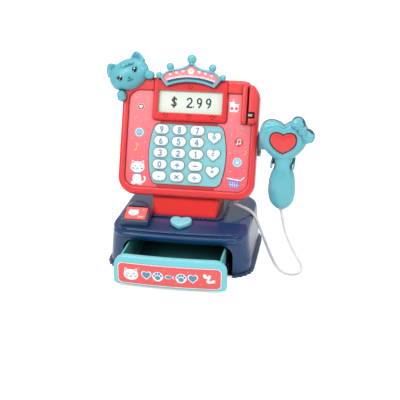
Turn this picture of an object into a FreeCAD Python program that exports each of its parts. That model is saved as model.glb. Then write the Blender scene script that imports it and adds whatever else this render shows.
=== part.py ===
import FreeCAD, Part
import math
import os

# Toy cash register: a base with a spring-out cash drawer, a tilted head that carries the
# display and the keypad, and a corded hand scanner in a holder on the head's right side.
# Row frame in millimetres: +X right, +Y towards the back, +Z up, floor at z = 0.
# Head frame: x across, y up the face, z out of the face towards the front.
Vec = FreeCAD.Vector
ORIGIN = Vec(0, 0, 0)
X_AXIS, Y_AXIS, Z_AXIS = Vec(1, 0, 0), Vec(0, 1, 0), Vec(0, 0, 1)

# ---------------------------------------------------------------- driving dimensions
WALL = 2.4                    # moulded wall thickness
# Base
BASE_HALF = 86.5              # half width at the floor
BASE_HALF_TOP = 82.0          # half width at the deck
BASE_FRONT = -57.0            # front of the base on the centre plane
BASE_BACK = 94.0
BASE_BACK_TOP = 91.0
FRONT_R = 565.0               # plan radius of the convex front
FRONT_CORNER_R = 26.0
BACK_CORNER_R = 34.0
DECK_Z = 54.0                 # height of the flat deck
DECK_UNDER = DECK_Z - 2 * WALL
STRIP_Y = -18.0               # the deck slopes down in front of this line
STRIP_DEG = 7.0
STRIP_FALL = math.tan(math.radians(STRIP_DEG))
RIM_H = 3.2                   # scalloped rim height
BUTTON_Y = -30.5              # centre of the release button
# Head, in its own frame
TILT = 20.6                   # lean of the face, degrees from vertical
HEAD_ORIGIN = Vec(0, 13.5, 127.5)
HEAD_HALF, HEAD_Y0, HEAD_Y1, HEAD_R = 84.0, -52.5, 91.5, 22.0
HEAD_RIM_Z = 4.0              # rim stands this far in front of the face
HEAD_PART_Z = -14.0           # parting line between the two head shells
HEAD_REAR_Z = -36.0           # back of the head
HEAD_TAPER = 5.0              # inset of the back's outline
# Screws: boss radius, clearance hole radius, pilot hole radius
BOSS_R, CLEAR_R, PILOT_R = 3.6, 1.6, 1.45
FLOOR_SCREWS = [(-74, -24), (74, -24), (-74, 66), (74, 66)]
NECK_SCREWS = [(x, y) for x in (-30, 30) for y in (4, 47)]
HEAD_SCREWS = [(-70, -38.5), (70, -38.5), (-70, 77), (70, 77)]

# Right half of a heart of unit width and height, point down: two cubic Beziers, poles (x, y)
HEART = [
    [(0, 0.29), (0.08, 0.47), (0.5, 0.58), (0.5, 0.15)],
    [(0.5, 0.15), (0.5, -0.12), (0.2, -0.3), (0, -0.5)],
]
# The same with a rounder belly and a shallower notch
PLUMP_HEART = [
    [(0, 0.36), (0.10, 0.51), (0.5, 0.60), (0.5, 0.16)],
    [(0.5, 0.16), (0.5, -0.16), (0.24, -0.38), (0, -0.5)],
]


# ---------------------------------------------------------------- outlines
def line(start, end):
    return Part.LineSegment(start, end).toShape()


def arc(start, middle, end):
    return Part.Arc(start, middle, end).toShape()


def rounded_rect(x0, x1, y0, y1, radius, z=0.0):
    """Closed wire; radius is one value or four (x0y0, x1y0, x1y1, x0y1)."""
    radii = radius if isinstance(radius, tuple) else (radius,) * 4
    corners = [(x0, y0, 1, 1), (x1, y0, -1, 1), (x1, y1, -1, -1), (x0, y1, 1, -1)]
    inset = 1 - math.sqrt(0.5)
    arcs = []
    for i, (x, y, sign_x, sign_y) in enumerate(corners):
        dx, dy = sign_x * radii[i], sign_y * radii[i]
        on_x_side = Vec(x + dx, y, z)
        on_y_side = Vec(x, y + dy, z)
        middle = Vec(x + dx * inset, y + dy * inset, z)
        ends = (on_x_side, on_y_side) if i in (1, 3) else (on_y_side, on_x_side)
        arcs.append((ends[0], middle, ends[1]))
    edges = []
    for i in range(4):
        edges.append(arc(*arcs[i]))
        end, following = arcs[i][2], arcs[(i + 1) % 4][0]
        if (following - end).Length > 1e-6:
            edges.append(line(end, following))
    return Part.Wire(Part.__sortEdges__(edges))


def stadium(x, y, width, height):
    radius = height / 2.0 - 0.01
    return rounded_rect(x - width / 2, x + width / 2, y - height / 2, y + height / 2, radius)


def heart(x, y, width, height, curves=HEART):
    """Closed wire of a heart, point down along -y."""
    edges = []
    for side in (1, -1):
        for poles in curves:
            curve = Part.BezierCurve()
            curve.setPoles([Vec(x + side * px * width, y + py * height, 0) for px, py in poles])
            edges.append(curve.toShape())
    return Part.Wire(Part.__sortEdges__(edges))


def base_outline(half, back, z=0.0, grow=0.0):
    """Convex front, straight sides and back, tangent corners."""
    half, front, back = half + grow, BASE_FRONT - grow, back + grow
    big_r, front_r, back_r = FRONT_R + grow, FRONT_CORNER_R + grow, BACK_CORNER_R + grow
    centre_y = front + big_r
    corner_x = half - front_r
    corner_y = centre_y - math.sqrt((big_r - front_r) ** 2 - corner_x ** 2)
    outward = Vec(corner_x, corner_y - centre_y, 0)
    outward.normalize()
    tangent_x, tangent_y = outward.x * big_r, centre_y + outward.y * big_r
    angle = math.atan2(tangent_y - corner_y, tangent_x - corner_x) / 2.0
    mid_x = corner_x + front_r * math.cos(angle)
    mid_y = corner_y + front_r * math.sin(angle)
    back_x, back_y = half - back_r, back - back_r
    diagonal = back_r * math.sqrt(0.5)

    def point(x, y):
        return Vec(x, y, z)

    right, left = point(tangent_x, tangent_y), point(-tangent_x, tangent_y)
    return Part.Wire([
        arc(left, point(0, front), right),
        arc(right, point(mid_x, mid_y), point(half, corner_y)),
        line(point(half, corner_y), point(half, back_y)),
        arc(point(half, back_y), point(back_x + diagonal, back_y + diagonal),
            point(back_x, back)),
        line(point(back_x, back), point(-back_x, back)),
        arc(point(-back_x, back), point(-back_x - diagonal, back_y + diagonal),
            point(-half, back_y)),
        line(point(-half, back_y), point(-half, corner_y)),
        arc(point(-half, corner_y), point(-mid_x, mid_y), left),
    ])


def scalloped(wire, pitch, bulge):
    """A closed wire of outward arcs strung along another closed wire."""
    count = max(8, int(round(wire.Length / pitch)))
    points = wire.discretize(Number=count + 1)[:-1]
    centre = wire.BoundBox.Center
    edges = []
    for i in range(count):
        start, end = points[i], points[(i + 1) % count]
        middle = (start + end) * 0.5
        chord = end - start
        outward = Vec(chord.y, -chord.x, 0)
        outward.normalize()
        if outward.dot(middle - centre) < 0:
            outward = outward * -1
        edges.append(arc(Vec(start.x, start.y, 0),
                         Vec(middle.x + outward.x * bulge, middle.y + outward.y * bulge, 0),
                         Vec(end.x, end.y, 0)))
    return Part.Wire(edges)


# ---------------------------------------------------------------- solids
def prism(wire, z0, z1):
    base = wire.copy()
    base.translate(Vec(0, 0, z0))
    return Part.Face(base).extrude(Vec(0, 0, z1 - z0))


def box(x0, x1, y0, y1, z0, z1):
    return Part.makeBox(x1 - x0, y1 - y0, z1 - z0, Vec(x0, y0, z0))


def side_box(side, x0, x1, *spans):
    """A box on the right (side 1), or its mirror image on the left (side -1)."""
    return box(x0, x1, *spans) if side > 0 else box(-x1, -x0, *spans)


def disc(x, y, z0, z1, radius):
    return Part.makeCylinder(radius, z1 - z0, Vec(x, y, z0))


def yz_profile(points, x0, x1):
    """A polygon of (y, z) points extruded from x0 to x1."""
    corners = [Vec(x0, y, z) for y, z in points]
    return Part.Face(Part.makePolygon(corners + corners[:1])).extrude(Vec(x1 - x0, 0, 0))


def stretched(shape, x, y, z):
    matrix = FreeCAD.Matrix()
    matrix.scale(x, y, z)
    return shape.transformGeometry(matrix)


def ellipsoid(centre, radius_x, radius_y, radius_z):
    solid = stretched(Part.makeSphere(1.0), radius_x, radius_y, radius_z)
    solid.translate(centre)
    return solid


def fillet(shape, radius, picks):
    """Rounds the edges that picks(edge) chooses."""
    edges = [edge for edge in shape.Edges if picks(edge)]
    for size in (radius, radius * 0.7, radius * 0.4):
        # Guards a radius the kernel can't build: a smaller one is tried, then the sharp shape stays
        try:
            rounded = shape.makeFillet(size, edges)
            if rounded.isValid() and rounded.Volume > 0 and len(rounded.Solids) == 1:
                return rounded.Solids[0]
        except Exception:
            pass
    return shape


def at_z(z, tol=1e-3):
    """Edge selector: edges that lie flat at height z."""
    return lambda edge: abs(edge.BoundBox.ZMin - z) < tol and abs(edge.BoundBox.ZMax - z) < tol


def one(shape):
    """The largest solid of a result."""
    return max(shape.Solids, key=lambda solid: solid.Volume)


def join(shapes):
    return shapes[0].fuse(list(shapes[1:])).removeSplitter()


def coil(radius, wire_radius, pitch, height):
    """Helical spring rising along z from the origin."""
    helix = Part.makeHelix(pitch, height, radius)
    direction = Vec(0, 1, pitch / (2 * math.pi * radius))
    section = Part.Wire([Part.makeCircle(wire_radius, Vec(radius, 0, 0), direction)])
    return Part.Wire(helix).makePipeShell([section], True, True)


def screw(position, length, head_r=2.9, shank_r=1.35):
    """Pan-head screw; the head's flat side is at the position and the shank points up."""
    tip = 1.2
    head = disc(0, 0, -1.9, 0, head_r)
    head = fillet(head, 0.9, at_z(-1.9))
    cross = box(-1.9, 1.9, -0.35, 0.35, -2.2, -1.0).fuse(box(-0.35, 0.35, -1.9, 1.9, -2.2, -1.0))
    solid = head.cut(cross).fuse(disc(0, 0, 0, length - tip, shank_r))
    solid = solid.fuse(Part.makeCone(shank_r, 0.3, tip, Vec(0, 0, length - tip)))
    solid.translate(position)
    return solid


# ---------------------------------------------------------------- placing
def placed(shape, axis, degrees, position):
    """A copy turned about an axis through the origin, then moved."""
    copy = shape.copy()
    copy.rotate(ORIGIN, axis, degrees)
    copy.translate(position)
    return copy


def facing_front(shape, x, y, z):
    """Turns local +z towards the front and local +y up."""
    return placed(shape, X_AXIS, 90, Vec(x, y, z))


def head_to_row(shape):
    return placed(shape, X_AXIS, 90.0 - TILT, HEAD_ORIGIN)


def head_point(x, y, z):
    """Row position of a point given in the head frame."""
    lean = math.radians(TILT)
    return Vec(x, HEAD_ORIGIN.y + y * math.sin(lean) - z * math.cos(lean),
               HEAD_ORIGIN.z + y * math.cos(lean) + z * math.sin(lean))


def strip_to_row(shape):
    """Local z = 0 is the sloping front strip of the deck, local origin under the button."""
    origin = Vec(0, BUTTON_Y, DECK_Z - (STRIP_Y - BUTTON_Y) * STRIP_FALL)
    return placed(shape, X_AXIS, STRIP_DEG, origin)


# ---------------------------------------------------------------- base
ARCH_HALF, ARCH_TOP, ARCH_R = 66.3, 40.1, 15.0       # drawer opening
BAND_Z0, BAND_Z1 = 42.0, 48.4                        # bullnose band under the deck edge
LIP_TOP = 51.4                                       # small lip above the band
BUTTON_W, BUTTON_H = 25.4, 22.6                      # release button heart
LATCH_Y, LATCH_Z = 6.0, 44.0                         # pivot of the latch lever
SPRING_Z = 18.0                                      # axis of the drawer spring
# Scan pad: a block with a sloping plate between Y0 and Y1, and an arched hood up to Y2
PAD_X0, PAD_X1 = -71.0, -38.0
PAD_MID_X = (PAD_X0 + PAD_X1) / 2
PAD_Y0, PAD_Y1, PAD_Y2 = -41.5, -20.0, -12.5
PAD_Z, PAD_SLOPE = 58.2, 24.0                        # front edge height, slope in degrees
PAD_LENGTH = (PAD_Y1 - PAD_Y0) / math.cos(math.radians(PAD_SLOPE))
COLLAR_X_INSET, COLLAR_Y_INSET = 3.0, 5.0            # collar of the pad that drops into the deck


def base_body():
    """Hollow-to-be outer body with its cavity, both cut to the sloping strip."""
    outer = Part.makeLoft([base_outline(BASE_HALF, BASE_BACK),
                           base_outline(BASE_HALF_TOP, BASE_BACK_TOP, DECK_Z)], True, True)
    outer = fillet(outer, 6.5, at_z(DECK_Z))
    cavity = Part.makeLoft([base_outline(BASE_HALF, BASE_BACK, -1, -WALL),
                            base_outline(BASE_HALF_TOP, BASE_BACK_TOP, DECK_UNDER, -WALL - 1.2)],
                           True, True)
    reach = 60
    wedge = yz_profile([(STRIP_Y, DECK_Z), (STRIP_Y - reach, DECK_Z - reach * STRIP_FALL),
                        (STRIP_Y - reach, DECK_Z + 20), (STRIP_Y, DECK_Z + 20)], -100, 100)
    outer = outer.cut(wedge)
    inner_wedge = wedge.copy()
    inner_wedge.translate(Vec(0, 0, -WALL))
    return outer, cavity.cut(inner_wedge)


def base_trim():
    """Bullnose band and lip across the front, scalloped rim at the floor and neck plinth."""
    band = prism(base_outline(BASE_HALF - 3.7, BASE_BACK, grow=1.7), BAND_Z0, BAND_Z1)
    band = fillet(band, 2.6, lambda edge: at_z(BAND_Z0)(edge) or at_z(BAND_Z1)(edge))
    band = band.common(box(-77, 77, -80, -42, 30, 60))
    lip_outer = prism(base_outline(BASE_HALF_TOP, BASE_BACK_TOP, grow=-3.4), 44.0, LIP_TOP)
    lip_inner = prism(base_outline(BASE_HALF_TOP, BASE_BACK_TOP, grow=-6.0), 43.0, 53.0)
    lip = lip_outer.cut(lip_inner).common(box(-69, 69, -80, -42, 40, 60))
    lip = fillet(lip, 1.1, at_z(LIP_TOP))
    rim_line = base_outline(BASE_HALF, BASE_BACK, grow=1.3)
    rim = prism(scalloped(rim_line, pitch=7.2, bulge=2.2), 0, RIM_H)
    plinth_line = rounded_rect(-46.0, 46.0, -13.0, 62.0, 7.0)
    plinth = prism(scalloped(plinth_line, pitch=6.0, bulge=1.7), DECK_Z - 1.0, DECK_Z + 1.5)
    return [band, lip, rim, plinth]


def base_openings():
    arch = rounded_rect(-ARCH_HALF, ARCH_HALF, -20, ARCH_TOP, (2, 2, ARCH_R, ARCH_R))
    tools = [
        facing_front(prism(arch, 0, 60), 0, -30, 0),
        # neck seat inside the plinth, and the wire way
        prism(rounded_rect(-40.4, 40.4, -9.0, 57.4, 5.4), DECK_Z, DECK_Z + 5),
        prism(rounded_rect(-14, 14, 14, 40, 5), DECK_Z - 12, DECK_Z + 5),
        # release button hole, and below it the room for the button's flange
        strip_to_row(prism(heart(0, 0, BUTTON_W + 0.9, BUTTON_H + 0.9), -14, 10)),
        strip_to_row(prism(heart(0, 0, BUTTON_W + 4.6, BUTTON_H + 4.6), -14, -2.8)),
    ]
    tools += [disc(x, y, DECK_Z - 12, DECK_Z + 5, 1.7) for x, y in NECK_SCREWS]
    # collar hole and shallow seat for the pad housing
    gap = 0.2
    tools.append(box(PAD_X0 + COLLAR_X_INSET - gap, PAD_X1 - COLLAR_X_INSET + gap,
                     PAD_Y0 + COLLAR_Y_INSET - gap, PAD_Y1 + gap, 40, 60))
    tools.append(box(PAD_X0 - 0.4, PAD_X1 + 0.6, PAD_Y0 - 0.4, PAD_Y2 + 0.6, DECK_Z, 60))
    return tools


def build_base_shell():
    outer, cavity = base_body()
    body = join([outer] + base_trim())
    body = one(body.cut([cavity] + base_openings()))
    # bosses for the floor screws, and the ears that carry the latch lever
    adds = [disc(x, y, 2.7, DECK_Z - WALL - 2.0, BOSS_R) for x, y in FLOOR_SCREWS]
    for side in (1, -1):
        adds.append(side_box(side, 5.6, 7.8, LATCH_Y - 4.5, LATCH_Y + 4.5,
                             LATCH_Z - 4.0, DECK_Z - WALL - 1.0))
    body = join([body] + adds)
    tools = [disc(x, y, 0, 20, PILOT_R) for x, y in FLOOR_SCREWS]
    tools.append(Part.makeCylinder(1.58, 20, Vec(-10, LATCH_Y, LATCH_Z), X_AXIS))
    return one(body.cut(tools))


def build_base_floor():
    plate = prism(base_outline(BASE_HALF, BASE_BACK, grow=-WALL - 0.9), 0, 2.4)
    adds = []
    for side in (1, -1):
        adds.append(side_box(side, 59.1, 61.1, -45, 86, 2.0, 14.0))    # rail beside the tray
        adds.append(side_box(side, 38, 42, -48, 82, 2.0, 4.2))         # rib under the tray
    # upright at the back, with the stud of the drawer spring
    adds.append(box(-12, 12, 84.6, 87.0, 2.0, 28.0))
    adds.append(Part.makeCylinder(3.0, 6.0, Vec(0, 84.9, SPRING_Z), Vec(0, -1, 0)))
    plate = join([plate] + adds)
    tools = []
    for x, y in FLOOR_SCREWS:
        tools.append(disc(x, y, -1, 5, CLEAR_R))
        tools.append(disc(x, y, -1, 1.4, 3.4))
    return one(plate.cut(tools))


def build_shell_screws():
    """Floor screws, and the screws up through the deck into the neck."""
    length = 12.0
    return Part.makeCompound(
        [screw(Vec(x, y, 1.35), length) for x, y in FLOOR_SCREWS]
        + [screw(Vec(x, y, DECK_UNDER - 0.05), length) for x, y in NECK_SCREWS])


# ---------------------------------------------------------------- drawer
PANEL_HALF, PANEL_Z0, PANEL_Z1, PANEL_T = 65.6, 3.0, 39.4, 6.5
DRAWER_OPEN = 46.0         # how far the drawer stands open at rest
DRAWER_FRONT = BASE_FRONT - DRAWER_OPEN
DRAWER_ARC_Y = DRAWER_FRONT + FRONT_R       # plan centre of the curved front
TRAY_HALF, TRAY_Z0, TRAY_Z1, TRAY_BACK, TRAY_WALL = 58.5, 4.5, 36.5, 28.0, 2.0


def front_drum(radius, z0=-5, z1=60):
    """Cylinder concentric with the drawer's curved front."""
    return disc(0, DRAWER_ARC_Y, z0, z1, radius)


def front_slab(outline):
    """Outline extruded through the curved front."""
    return facing_front(prism(outline, 0, 40), 0, DRAWER_FRONT + 25, 0)


def arc_distance(x, y):
    return math.hypot(x, y - DRAWER_ARC_Y)


def on_front_face(edge):
    return arc_distance(edge.CenterOfMass.x, edge.CenterOfMass.y) > FRONT_R - 1.0 and all(
        abs(arc_distance(vertex.X, vertex.Y) - FRONT_R) < 0.01 for vertex in edge.Vertexes)


def build_drawer_front():
    outline = rounded_rect(-PANEL_HALF, PANEL_HALF, PANEL_Z0, PANEL_Z1, (4, 4, 14.5, 14.5))
    panel = front_slab(outline).common(front_drum(FRONT_R))
    panel = one(panel.cut(front_drum(FRONT_R - PANEL_T, -6, 61)))
    return fillet(panel, 2.6, on_front_face)


def build_drawer_tray():
    tray = box(-TRAY_HALF, TRAY_HALF, DRAWER_FRONT - 5, TRAY_BACK, TRAY_Z0, TRAY_Z1)
    floor_z = TRAY_Z0 + TRAY_WALL
    inner = box(-TRAY_HALF + TRAY_WALL, TRAY_HALF - TRAY_WALL,
                DRAWER_FRONT - 6, TRAY_BACK - TRAY_WALL, floor_z, TRAY_Z1 + 5)
    inner = fillet(inner, 2.5, lambda edge: edge.BoundBox.ZMin < floor_z + 0.01
                   and edge.BoundBox.ZLength < 0.01)
    tray = tray.cut(inner)
    return one(tray.common(front_drum(FRONT_R - PANEL_T - 0.06)))


def build_drawer_label():
    label = front_slab(rounded_rect(-59.9, 59.9, 6.0, 31.0, 5.0))
    label = label.common(front_drum(FRONT_R + 0.38))
    return one(label.cut(front_drum(FRONT_R + 0.04, -6, 61)))


def build_drawer_spring():
    spring = coil(radius=5.2, wire_radius=0.5, pitch=6.0, height=53.5)
    return placed(spring, X_AXIS, -90, Vec(0, 30.2, SPRING_Z))


# ---------------------------------------------------------------- release button and latch
LATCH_FRONT = -35.0
LATCH_HALF_T = 1.6         # half thickness of the lever


def build_release_button():
    top = prism(heart(0, 0, BUTTON_W, BUTTON_H), -3.2, 5.2)
    top = fillet(top, 1.5, at_z(5.2))
    flange = prism(heart(0, 0, BUTTON_W + 3.4, BUTTON_H + 3.4), -5.2, -3.2)
    stem = disc(0, 0.5, -6.8, -5.0, 2.5)
    return strip_to_row(one(join([top, flange, stem])))


def build_latch_lever():
    """Lever above the drawer: its front end lies under the button, the hook hangs behind."""
    bottom, top = LATCH_Z - LATCH_HALF_T, LATCH_Z + LATCH_HALF_T
    bar = box(-4.0, 4.0, LATCH_FRONT - 6, 66.0, bottom, top)
    hook = box(-4.0, 4.0, 62.0, 66.0, TRAY_Z1 + 0.7, LATCH_Z)
    pivot = Part.makeCylinder(1.5, 17.0, Vec(-8.5, LATCH_Y, LATCH_Z), X_AXIS)
    pad = box(-6.0, 6.0, LATCH_FRONT - 6, LATCH_FRONT + 7, bottom, LATCH_Z - 0.4)
    lever = join([bar, hook, pivot, pad])
    # the front end drops clear of the button's flange
    return one(lever.cut([box(-7, 7, LATCH_FRONT - 10, LATCH_FRONT + 16,
                              LATCH_Z + 1.1, LATCH_Z + 5)]))


def build_latch_spring():
    """Bowed leaf between the lever's tail and the deck's underside."""
    y0, y_mid, y1, leaf = 44, 53, 62, 0.4
    foot, crest = LATCH_Z + 1.7, DECK_UNDER - 0.1
    return yz_profile([(y0, foot), (y0, foot + leaf), (y_mid, crest), (y1, foot + leaf),
                       (y1, foot), (y_mid, crest - leaf)], -2.6, 2.6)


# ---------------------------------------------------------------- scan pad
def slope_to_row(shape):
    """Local z = 0 is the pad's slope, local y runs up it from the front edge."""
    return placed(shape, X_AXIS, PAD_SLOPE, Vec(PAD_MID_X, PAD_Y0, PAD_Z))


def hood_face():
    """Arched outline of the hood, in the plane of its back."""
    bottom, spring_line, crest = 47, 61.0, 73.5

    def point(x, z):
        return Vec(x, PAD_Y2, z)

    return Part.Face(Part.Wire([
        line(point(PAD_X0, bottom), point(PAD_X0, spring_line)),
        arc(point(PAD_X0, spring_line), point(PAD_MID_X, crest), point(PAD_X1, spring_line)),
        line(point(PAD_X1, spring_line), point(PAD_X1, bottom)),
        line(point(PAD_X1, bottom), point(PAD_X0, bottom)),
    ]))


def hood_back_edge(edge):
    bounds = edge.BoundBox
    return abs(bounds.YMin - PAD_Y2) < 1e-3 and bounds.YLength < 1e-3 and bounds.ZMin > 50


def pad_top_edge(edge):
    """Upper edges of the block in front of the hood, without the crosswise ones behind Y0."""
    bounds = edge.BoundBox
    crosswise = abs(bounds.YMin - bounds.YMax) < 1e-3 and bounds.YMin > PAD_Y0 + 0.1
    return (bounds.ZMin > 57 and bounds.YMin < PAD_Y1 + 0.01 and bounds.YMax < PAD_Y1 + 0.05
            and not crosswise)


def build_pad_housing():
    slope_top = PAD_Z + (PAD_Y1 - PAD_Y0) * math.tan(math.radians(PAD_SLOPE))
    wedge = yz_profile([(PAD_Y0, 47), (PAD_Y0, PAD_Z), (PAD_Y1, slope_top), (PAD_Y1, 47)],
                       PAD_X0, PAD_X1)
    hood = hood_face().extrude(Vec(0, PAD_Y1 - PAD_Y2, 0))
    hood = fillet(hood, 3.0, hood_back_edge)
    arch = hood_face().extrude(Vec(0, PAD_Y0 - PAD_Y2 - 1.0, 0))
    block = join([wedge.common(arch), hood])
    block = fillet(block, 1.2, pad_top_edge)
    # trim the bottom to the deck surface, then add the collar that drops into the deck
    deck, reach = DECK_Z + 0.05, 70
    below = yz_profile([(60, deck), (STRIP_Y, deck), (STRIP_Y - reach, deck - reach * STRIP_FALL),
                        (STRIP_Y - reach, 0), (60, 0)], -120, 120)
    collar = box(PAD_X0 + COLLAR_X_INSET, PAD_X1 - COLLAR_X_INSET,
                 PAD_Y0 + COLLAR_Y_INSET, PAD_Y1, 46.0, DECK_Z + 0.6)
    block = block.cut(below).fuse(collar).removeSplitter()
    # pocket for the plate and a deeper well; the pocket stops short inside the hood
    pocket = slope_to_row(prism(rounded_rect(-13.9, 13.9, 1.6, PAD_LENGTH + 0.5, 1.2), -3.4, 30))
    well = slope_to_row(prism(rounded_rect(-9, 9, 5, PAD_LENGTH - 5, 1.2), -8.0, 0))
    pocket = pocket.cut(box(-100, 0, PAD_Y1 + 0.8, 40, 40, 100))
    return one(block.cut([pocket, well]))


def build_pad_plate():
    plate = prism(rounded_rect(-13.4, 13.4, 2.1, PAD_LENGTH - 0.6, 1.0), -1.4, 0.5)
    plate = fillet(plate, 0.5, at_z(0.5))
    stem = prism(rounded_rect(-3, 3, 9, 15, 1), -3.0, -1.4)
    return slope_to_row(one(plate.fuse(stem).removeSplitter()))


def build_pad_label():
    return slope_to_row(prism(rounded_rect(-12.7, 12.7, 2.9, PAD_LENGTH - 1.4, 0.8), 0.54, 0.8))


# ---------------------------------------------------------------- head envelope and neck
def head_outline(grow=0.0, z=0.0):
    return rounded_rect(-HEAD_HALF - grow, HEAD_HALF + grow, HEAD_Y0 - grow, HEAD_Y1 + grow,
                        HEAD_R + grow, z)


def head_front_outer(grow=0.0):
    return prism(head_outline(grow), HEAD_PART_Z, HEAD_RIM_Z + grow)


def head_rear_outer(grow=0.0):
    return Part.makeLoft([head_outline(grow, HEAD_PART_Z),
                          head_outline(grow - HEAD_TAPER, HEAD_REAR_Z - grow)], True, True)


NECK_Z0 = DECK_Z + 0.05


def neck_solid(grow, z0, z1):
    """Column that widens sideways and narrows front to back as it rises."""
    def ring(z):
        rise = (z - DECK_Z) / 56.0
        half = 40.0 + 3.6 * rise
        front = -8.6 + 23.6 * rise
        back = 57.0 - 10.5 * rise
        return rounded_rect(-half - grow, half + grow, front - grow, back + grow,
                            5.0 + grow * 0.9, z)
    return Part.makeLoft([ring(z0), ring(z1)], True, True)


def build_neck_column():
    neck = neck_solid(0, NECK_Z0, 110.0)
    neck = neck.cut([neck_solid(-WALL, DECK_Z - 1, 112.0)])
    clearance = 0.12
    head = head_to_row(head_rear_outer(clearance).fuse(head_front_outer(clearance)))
    neck = one(neck.cut(head))
    bosses = [disc(x, y, NECK_Z0, DECK_Z + 11, 3.2) for x, y in NECK_SCREWS]
    webs = [side_box(side, 30, 38.5, y - 1, y + 1, NECK_Z0, DECK_Z + 9)
            for y in (4, 47) for side in (-1, 1)]
    neck = join([neck] + bosses + webs)
    return one(neck.cut([disc(x, y, DECK_Z - 1, DECK_Z + 9.5, PILOT_R) for x, y in NECK_SCREWS]))


# ---------------------------------------------------------------- keypad (head frame)
KEY_W, KEY_H, KEY_DX, KEY_DY = 17.6, 11.8, 22.0, 14.3
KEY_MID_X = -10.8                                    # middle column of the oval keys
HEART_KEY_W, HEART_KEY_H, HEART_KEY_X = 16.8, 15.0, 32.3
KEY_TOP = 4.2
KEY_GAP = 0.35
# Oval keys from the top row down, each row from left to right
KEY_ROWS = [("9", "8", "7"), ("6", "5", "4"), ("3", "2", "1"),
            ("0", "plus", "minus"), ("point", "times", "divide")]
# Name, outline, x, y, width, height, flange's extra width and height, top fillet
KEYS = [("key_" + name, stadium, KEY_MID_X + (column - 1) * KEY_DX, (2 - row) * KEY_DY,
         KEY_W, KEY_H, 2.0, 1.7, 1.3)
        for row, names in enumerate(KEY_ROWS) for column, name in enumerate(names)]
KEYS += [("heart_key_" + name, heart, HEART_KEY_X, y, HEART_KEY_W, HEART_KEY_H, 2.4, 2.4, 1.1)
         for name, y in (("on", 20.9), ("off", 0.3), ("equals", -20.4))]


def keypad_wire(grow=0.0):
    """Rounded keypad outline with bulging sides."""
    half, bottom, top, radius = 42.6 + grow, -37.9 - grow, 35.4 + grow, 7.0 + grow
    inset = radius * (1 - math.sqrt(0.5))
    flat, side, bulge = half - radius, half + 0.6, half + 4.7
    low, high = bottom + radius, top - radius
    middle = (bottom + top) / 2

    def bend(*points):
        return arc(*[Vec(x, y, 0) for x, y in points])

    return Part.Wire([
        line(Vec(-flat, bottom, 0), Vec(flat, bottom, 0)),
        bend((flat, bottom), (half - inset, bottom + inset), (side, low)),
        bend((side, low), (bulge, middle), (side, high)),
        bend((side, high), (half - inset, top - inset), (flat, top)),
        line(Vec(flat, top, 0), Vec(-flat, top, 0)),
        bend((-flat, top), (-half + inset, top - inset), (-side, high)),
        bend((-side, high), (-bulge, middle), (-side, low)),
        bend((-side, low), (-half + inset, bottom + inset), (-flat, bottom)),
    ])


def key_holes(z0, z1):
    return [prism(outline(x, y, width + 2 * KEY_GAP, height + 2 * KEY_GAP), z0, z1)
            for _, outline, x, y, width, height, _, _, _ in KEYS]


def build_key(outline, x, y, width, height, flange_dx, flange_dy, radius):
    cap = prism(outline(x, y, width, height), -2.9, KEY_TOP)
    cap = fillet(cap, radius, at_z(KEY_TOP))
    flange = prism(outline(x, y, width + flange_dx, height + flange_dy), -3.8, -2.75)
    return one(cap.fuse(flange))


def build_keypad_plate():
    top = 1.7
    plate = prism(keypad_wire(), 0.08, top)
    plate = fillet(plate, 0.7, at_z(top))
    return one(plate.cut(key_holes(-2, 5)))


def build_keypad_membrane():
    sheet_top = -7.2
    sheet = box(-34, 44, -36, 36, -8.2, sheet_top)
    domes = [Part.makeCone(4.0, 2.6, 1.45, Vec(key[2], key[3], sheet_top)) for key in KEYS]
    return one(sheet.fuse(domes))


# ---------------------------------------------------------------- head shells (head frame)
RECESS_HALF, RECESS_Y0, RECESS_Y1, RECESS_R = 76.0, -43.0, 75.5, 14.0
BEZEL_HALF, BEZEL_Y0, BEZEL_Y1, BEZEL_Z = 45.5, 39.5, 90.2, 5.5
WINDOW_HALF, WINDOW_Y0, WINDOW_Y1 = 38.5, 49.8, 75.2
# Card channel: a slim ridge, a slot, and a broad wall to its right
RIDGE_X0, SLOT_X0, SLOT_X1, SWIPE_X1 = 63.4, 70.3, 71.7, 81.6
SWIPE_Y0, RIDGE_Y1, SWIPE_WALL_Y1 = 39.5, 86.0, 84.5
RIDGE_Z = 7.4
SWIPE_WALL_Z = RIDGE_Z + 1.0
LEVER_X, LEVER_Z = 76.2, 1.4                         # pin of the card lever
BATT_X0, BATT_X1, BATT_Y0, BATT_Y1 = 4.0, 66.0, 6.0, 40.0    # battery pocket
DOOR_SCREW_X, DOOR_SCREW_Y = BATT_X1 + 0.2, (BATT_Y0 + BATT_Y1) / 2
SPEAKER_X, SPEAKER_Y = -42.0, -8.0
CABLE_X, CABLE_Z = 58.5, -22.0                       # cable exit through the underside
BRACKET_Y, BRACKET_Z = 18.0, -22.0                   # middle of the bracket's foot
BRACKET_SCREW_YS = (BRACKET_Y - 9, BRACKET_Y + 9)


def bezel_wire(grow=0.0):
    return rounded_rect(-BEZEL_HALF - grow, BEZEL_HALF + grow, BEZEL_Y0 - grow, BEZEL_Y1 + grow,
                        (4.5, 4.5, 3.0, 3.0))


def window_wire(grow, radius, z=0.0):
    return rounded_rect(-WINDOW_HALF - grow, WINDOW_HALF + grow,
                        WINDOW_Y0 - grow, WINDOW_Y1 + grow, radius, z)


def battery_wire(grow, radius):
    return rounded_rect(BATT_X0 - grow, BATT_X1 + grow, BATT_Y0 - grow, BATT_Y1 + grow, radius)


def recess_rim_edge(edge):
    bounds = edge.BoundBox
    return (at_z(HEAD_RIM_Z)(edge)
            and bounds.XMin > -RECESS_HALF - 0.1 and bounds.XMax < RECESS_HALF + 0.1
            and bounds.YMin > RECESS_Y0 - 0.1 and bounds.YMax < RECESS_Y1 + 0.1)


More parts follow.
